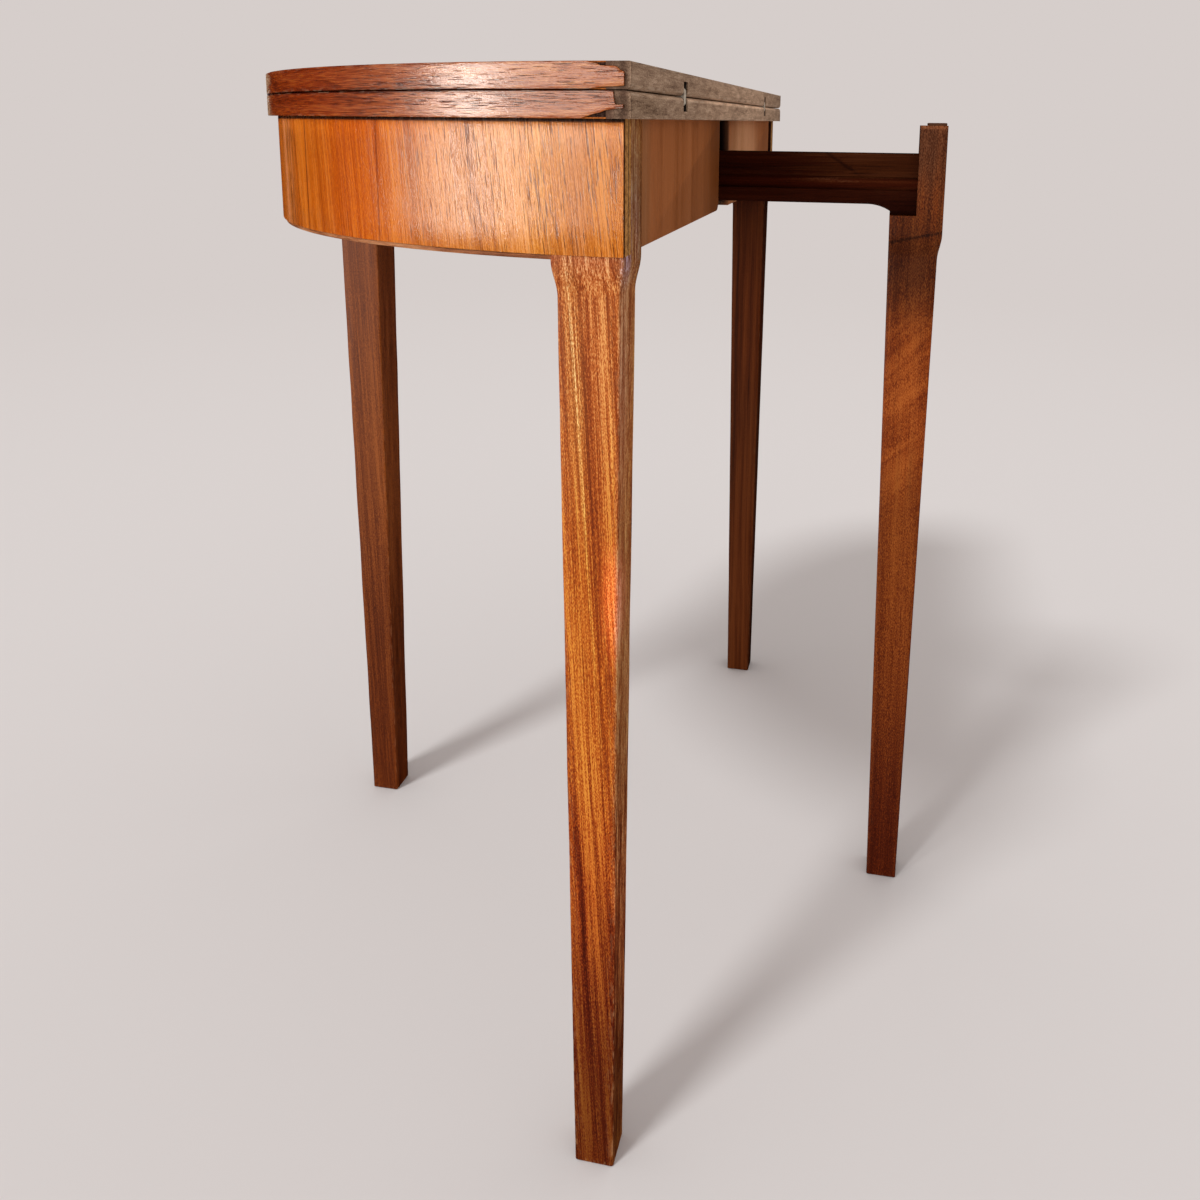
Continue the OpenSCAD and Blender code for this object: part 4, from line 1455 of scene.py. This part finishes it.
@dataclass(frozen=True)
class Lamp:
    """A lamp that looks at the middle of the table.

    `turn` is the direction that it stands in, from +X towards +Y, and `rise` how high it stands
    above the table's middle, both in degrees; `away` is its distance in metres.
    """

    name: str
    kind: LampKind
    turn: float
    rise: float
    away: float
    power: float
    aim: Point = (0.0, -100.0, 660.0)

    def hang(self) -> bpy.types.Object:
        """Hang the lamp.

        Returns:
            The lamp, which the camera doesn't see.
        """
        light = bpy.data.lights.new(self.name, self.kind.value)
        light.energy = self.power
        a, e = math.radians(self.turn), math.radians(self.rise)
        back = Vector((math.cos(a) * math.cos(e), math.sin(a) * math.cos(e), math.sin(e)))
        made = add_object(self.name, light)
        made.location = Vector(place(*self.aim)) + back * self.away
        made.rotation_euler = back.to_track_quat("Z", "Y").to_euler()
        made.visible_camera = False
        return made


@dataclass
class Studio:
    """A plain pale floor that meets an even pale surround, lit softly from the front left."""

    surround: Colour = (0.672, 0.617, 0.597)
    # The first lamp throws the shadows on the floor, and the second lights the table
    key: Lamp = Lamp("key", LampKind.SUN, -30.5, 50.0, 4.0, 1.45)
    key_width: float = 11.0
    fill: Lamp = Lamp("fill", LampKind.SUN, -28.0, 8.0, 4.0, 2.15)
    fill_width: float = 42.0
    # The panel that shows only as sheen on the curved front, and its width and height in metres
    sheen: Lamp = Lamp("sheen", LampKind.AREA, -45.0, 0.0, 2.4, 42.0)
    sheen_size: Flat = (0.36, 1.3)
    # How much lighter the floor is near the table, and the distances in which that fades away
    near_lift: Colour = (1.055, 1.065, 1.07)
    near_fade: Flat = (0.6, 4.0)
    reach: float = 60.0

    def floor(self) -> bpy.types.Object:
        """Lay the floor, in the tone that the light brings up to the surround's.

        Returns:
            The floor.
        """
        mesh = bpy.data.meshes.new("floor")
        r = self.reach
        mesh.from_pydata([(-r, -r, 0), (r, -r, 0), (r, r, 0), (-r, r, 0)], [], [(0, 1, 2, 3)])
        made = add_object("floor", mesh)
        graph = Graph("studio_floor")
        from_key = self.key.power * math.sin(math.radians(self.key.rise)) / math.pi
        tone = tuple(c / (c + from_key) for c in self.surround)
        # The table takes some of the light from the floor around it, which the tone makes good
        lifted = tuple(min(c * lift, 1.0) for c, lift in zip(tone, self.near_lift))
        away = graph.length(graph.node("TexCoord").outputs["Object"])
        near = graph.spread(away, *self.near_fade, 1.0, 0.0)
        shader = graph.node("BsdfDiffuse", graph.blend(near, tone, lifted))
        graph.node("OutputMaterial", shader.outputs[0])
        mesh.materials.append(graph.material)
        made.visible_glossy = False
        return made

    def sky(self) -> None:
        """Light everything evenly with the surround's own colour, but let nothing mirror it."""
        world = bpy.data.worlds.new("surround")
        bpy.context.scene.world = world
        world.use_nodes = True
        background = world.node_tree.nodes["Background"]
        background.inputs["Color"].default_value = (*self.surround, 1.0)
        background.inputs["Strength"].default_value = 1.0
        world.cycles_visibility.glossy = False

    def build(self) -> None:
        """Lay the floor, light it and set plain colour handling."""
        floor = self.floor()
        self.sky()
        for lamp, width, state in ((self.key, self.key_width, "INCLUDE"),
                                   (self.fill, self.fill_width, "EXCLUDE")):
            made = lamp.hang()
            made.data.angle = math.radians(width)
            lit = bpy.data.collections.new(lamp.name + "_lights")
            lit.objects.link(floor)
            lit.collection_objects[0].light_linking.link_state = state
            made.light_linking.receiver_collection = lit
        sheen = self.sheen.hang()
        sheen.data.shape = "RECTANGLE"
        sheen.data.size, sheen.data.size_y = self.sheen_size
        sheen.visible_diffuse = False
        bpy.context.scene.view_settings.view_transform = "Standard"
        bpy.context.scene.view_settings.look = "None"


@dataclass
class Camera:
    """The photograph's point of view, level with the top at the table's right end.

    `turn`, `dip` and `roll` are in degrees, and `focal`, `centre` and `picture` in pixels.
    """

    spot: Point = (958.83, 147.19, 705.34)
    turn: float = -11.68
    dip: float = 10.94
    roll: float = 0.59
    focal: float = 1077.19
    centre: Flat = (667.7, 328.85)
    picture: float = 1200.0
    sensor: float = 36.0

    def build(self) -> None:
        """Set the camera up and make it the scene's own."""
        a, e, t = (math.radians(v) for v in (self.turn, self.dip, self.roll))
        ahead = Vector((-math.cos(a) * math.cos(e), math.sin(a) * math.cos(e), -math.sin(e)))
        right = ahead.cross(Vector((0, 0, 1))).normalized()
        up = right.cross(ahead)
        level = math.cos(t) * right + math.sin(t) * up
        above = -math.sin(t) * right + math.cos(t) * up
        data = bpy.data.cameras.new("photo_view")
        data.sensor_width = self.sensor
        data.lens = self.focal / self.picture * self.sensor
        data.shift_x = (self.picture / 2 - self.centre[0]) / self.picture
        data.shift_y = (self.centre[1] - self.picture / 2) / self.picture
        data.clip_start, data.clip_end = 0.01, 200.0
        made = add_object("photo_view", data)
        turned = Matrix((level, above, -ahead)).transposed().to_4x4()
        made.matrix_world = Matrix.Translation(Vector(place(*self.spot))) @ turned
        bpy.context.scene.camera = made


def main() -> None:
    """Build the studio and every sub-assembly in order."""
    logging.basicConfig(level=logging.INFO, format="%(message)s")
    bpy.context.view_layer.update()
    for part in (Camera(), Studio(), TableTop(), Hinges(), Apron(), BackPanels(), Legs(), Slide(),
                 InnerFrame()):
        LOG.info("building %s", type(part).__name__)
        part.build()


if __name__ == "__main__":
    main()
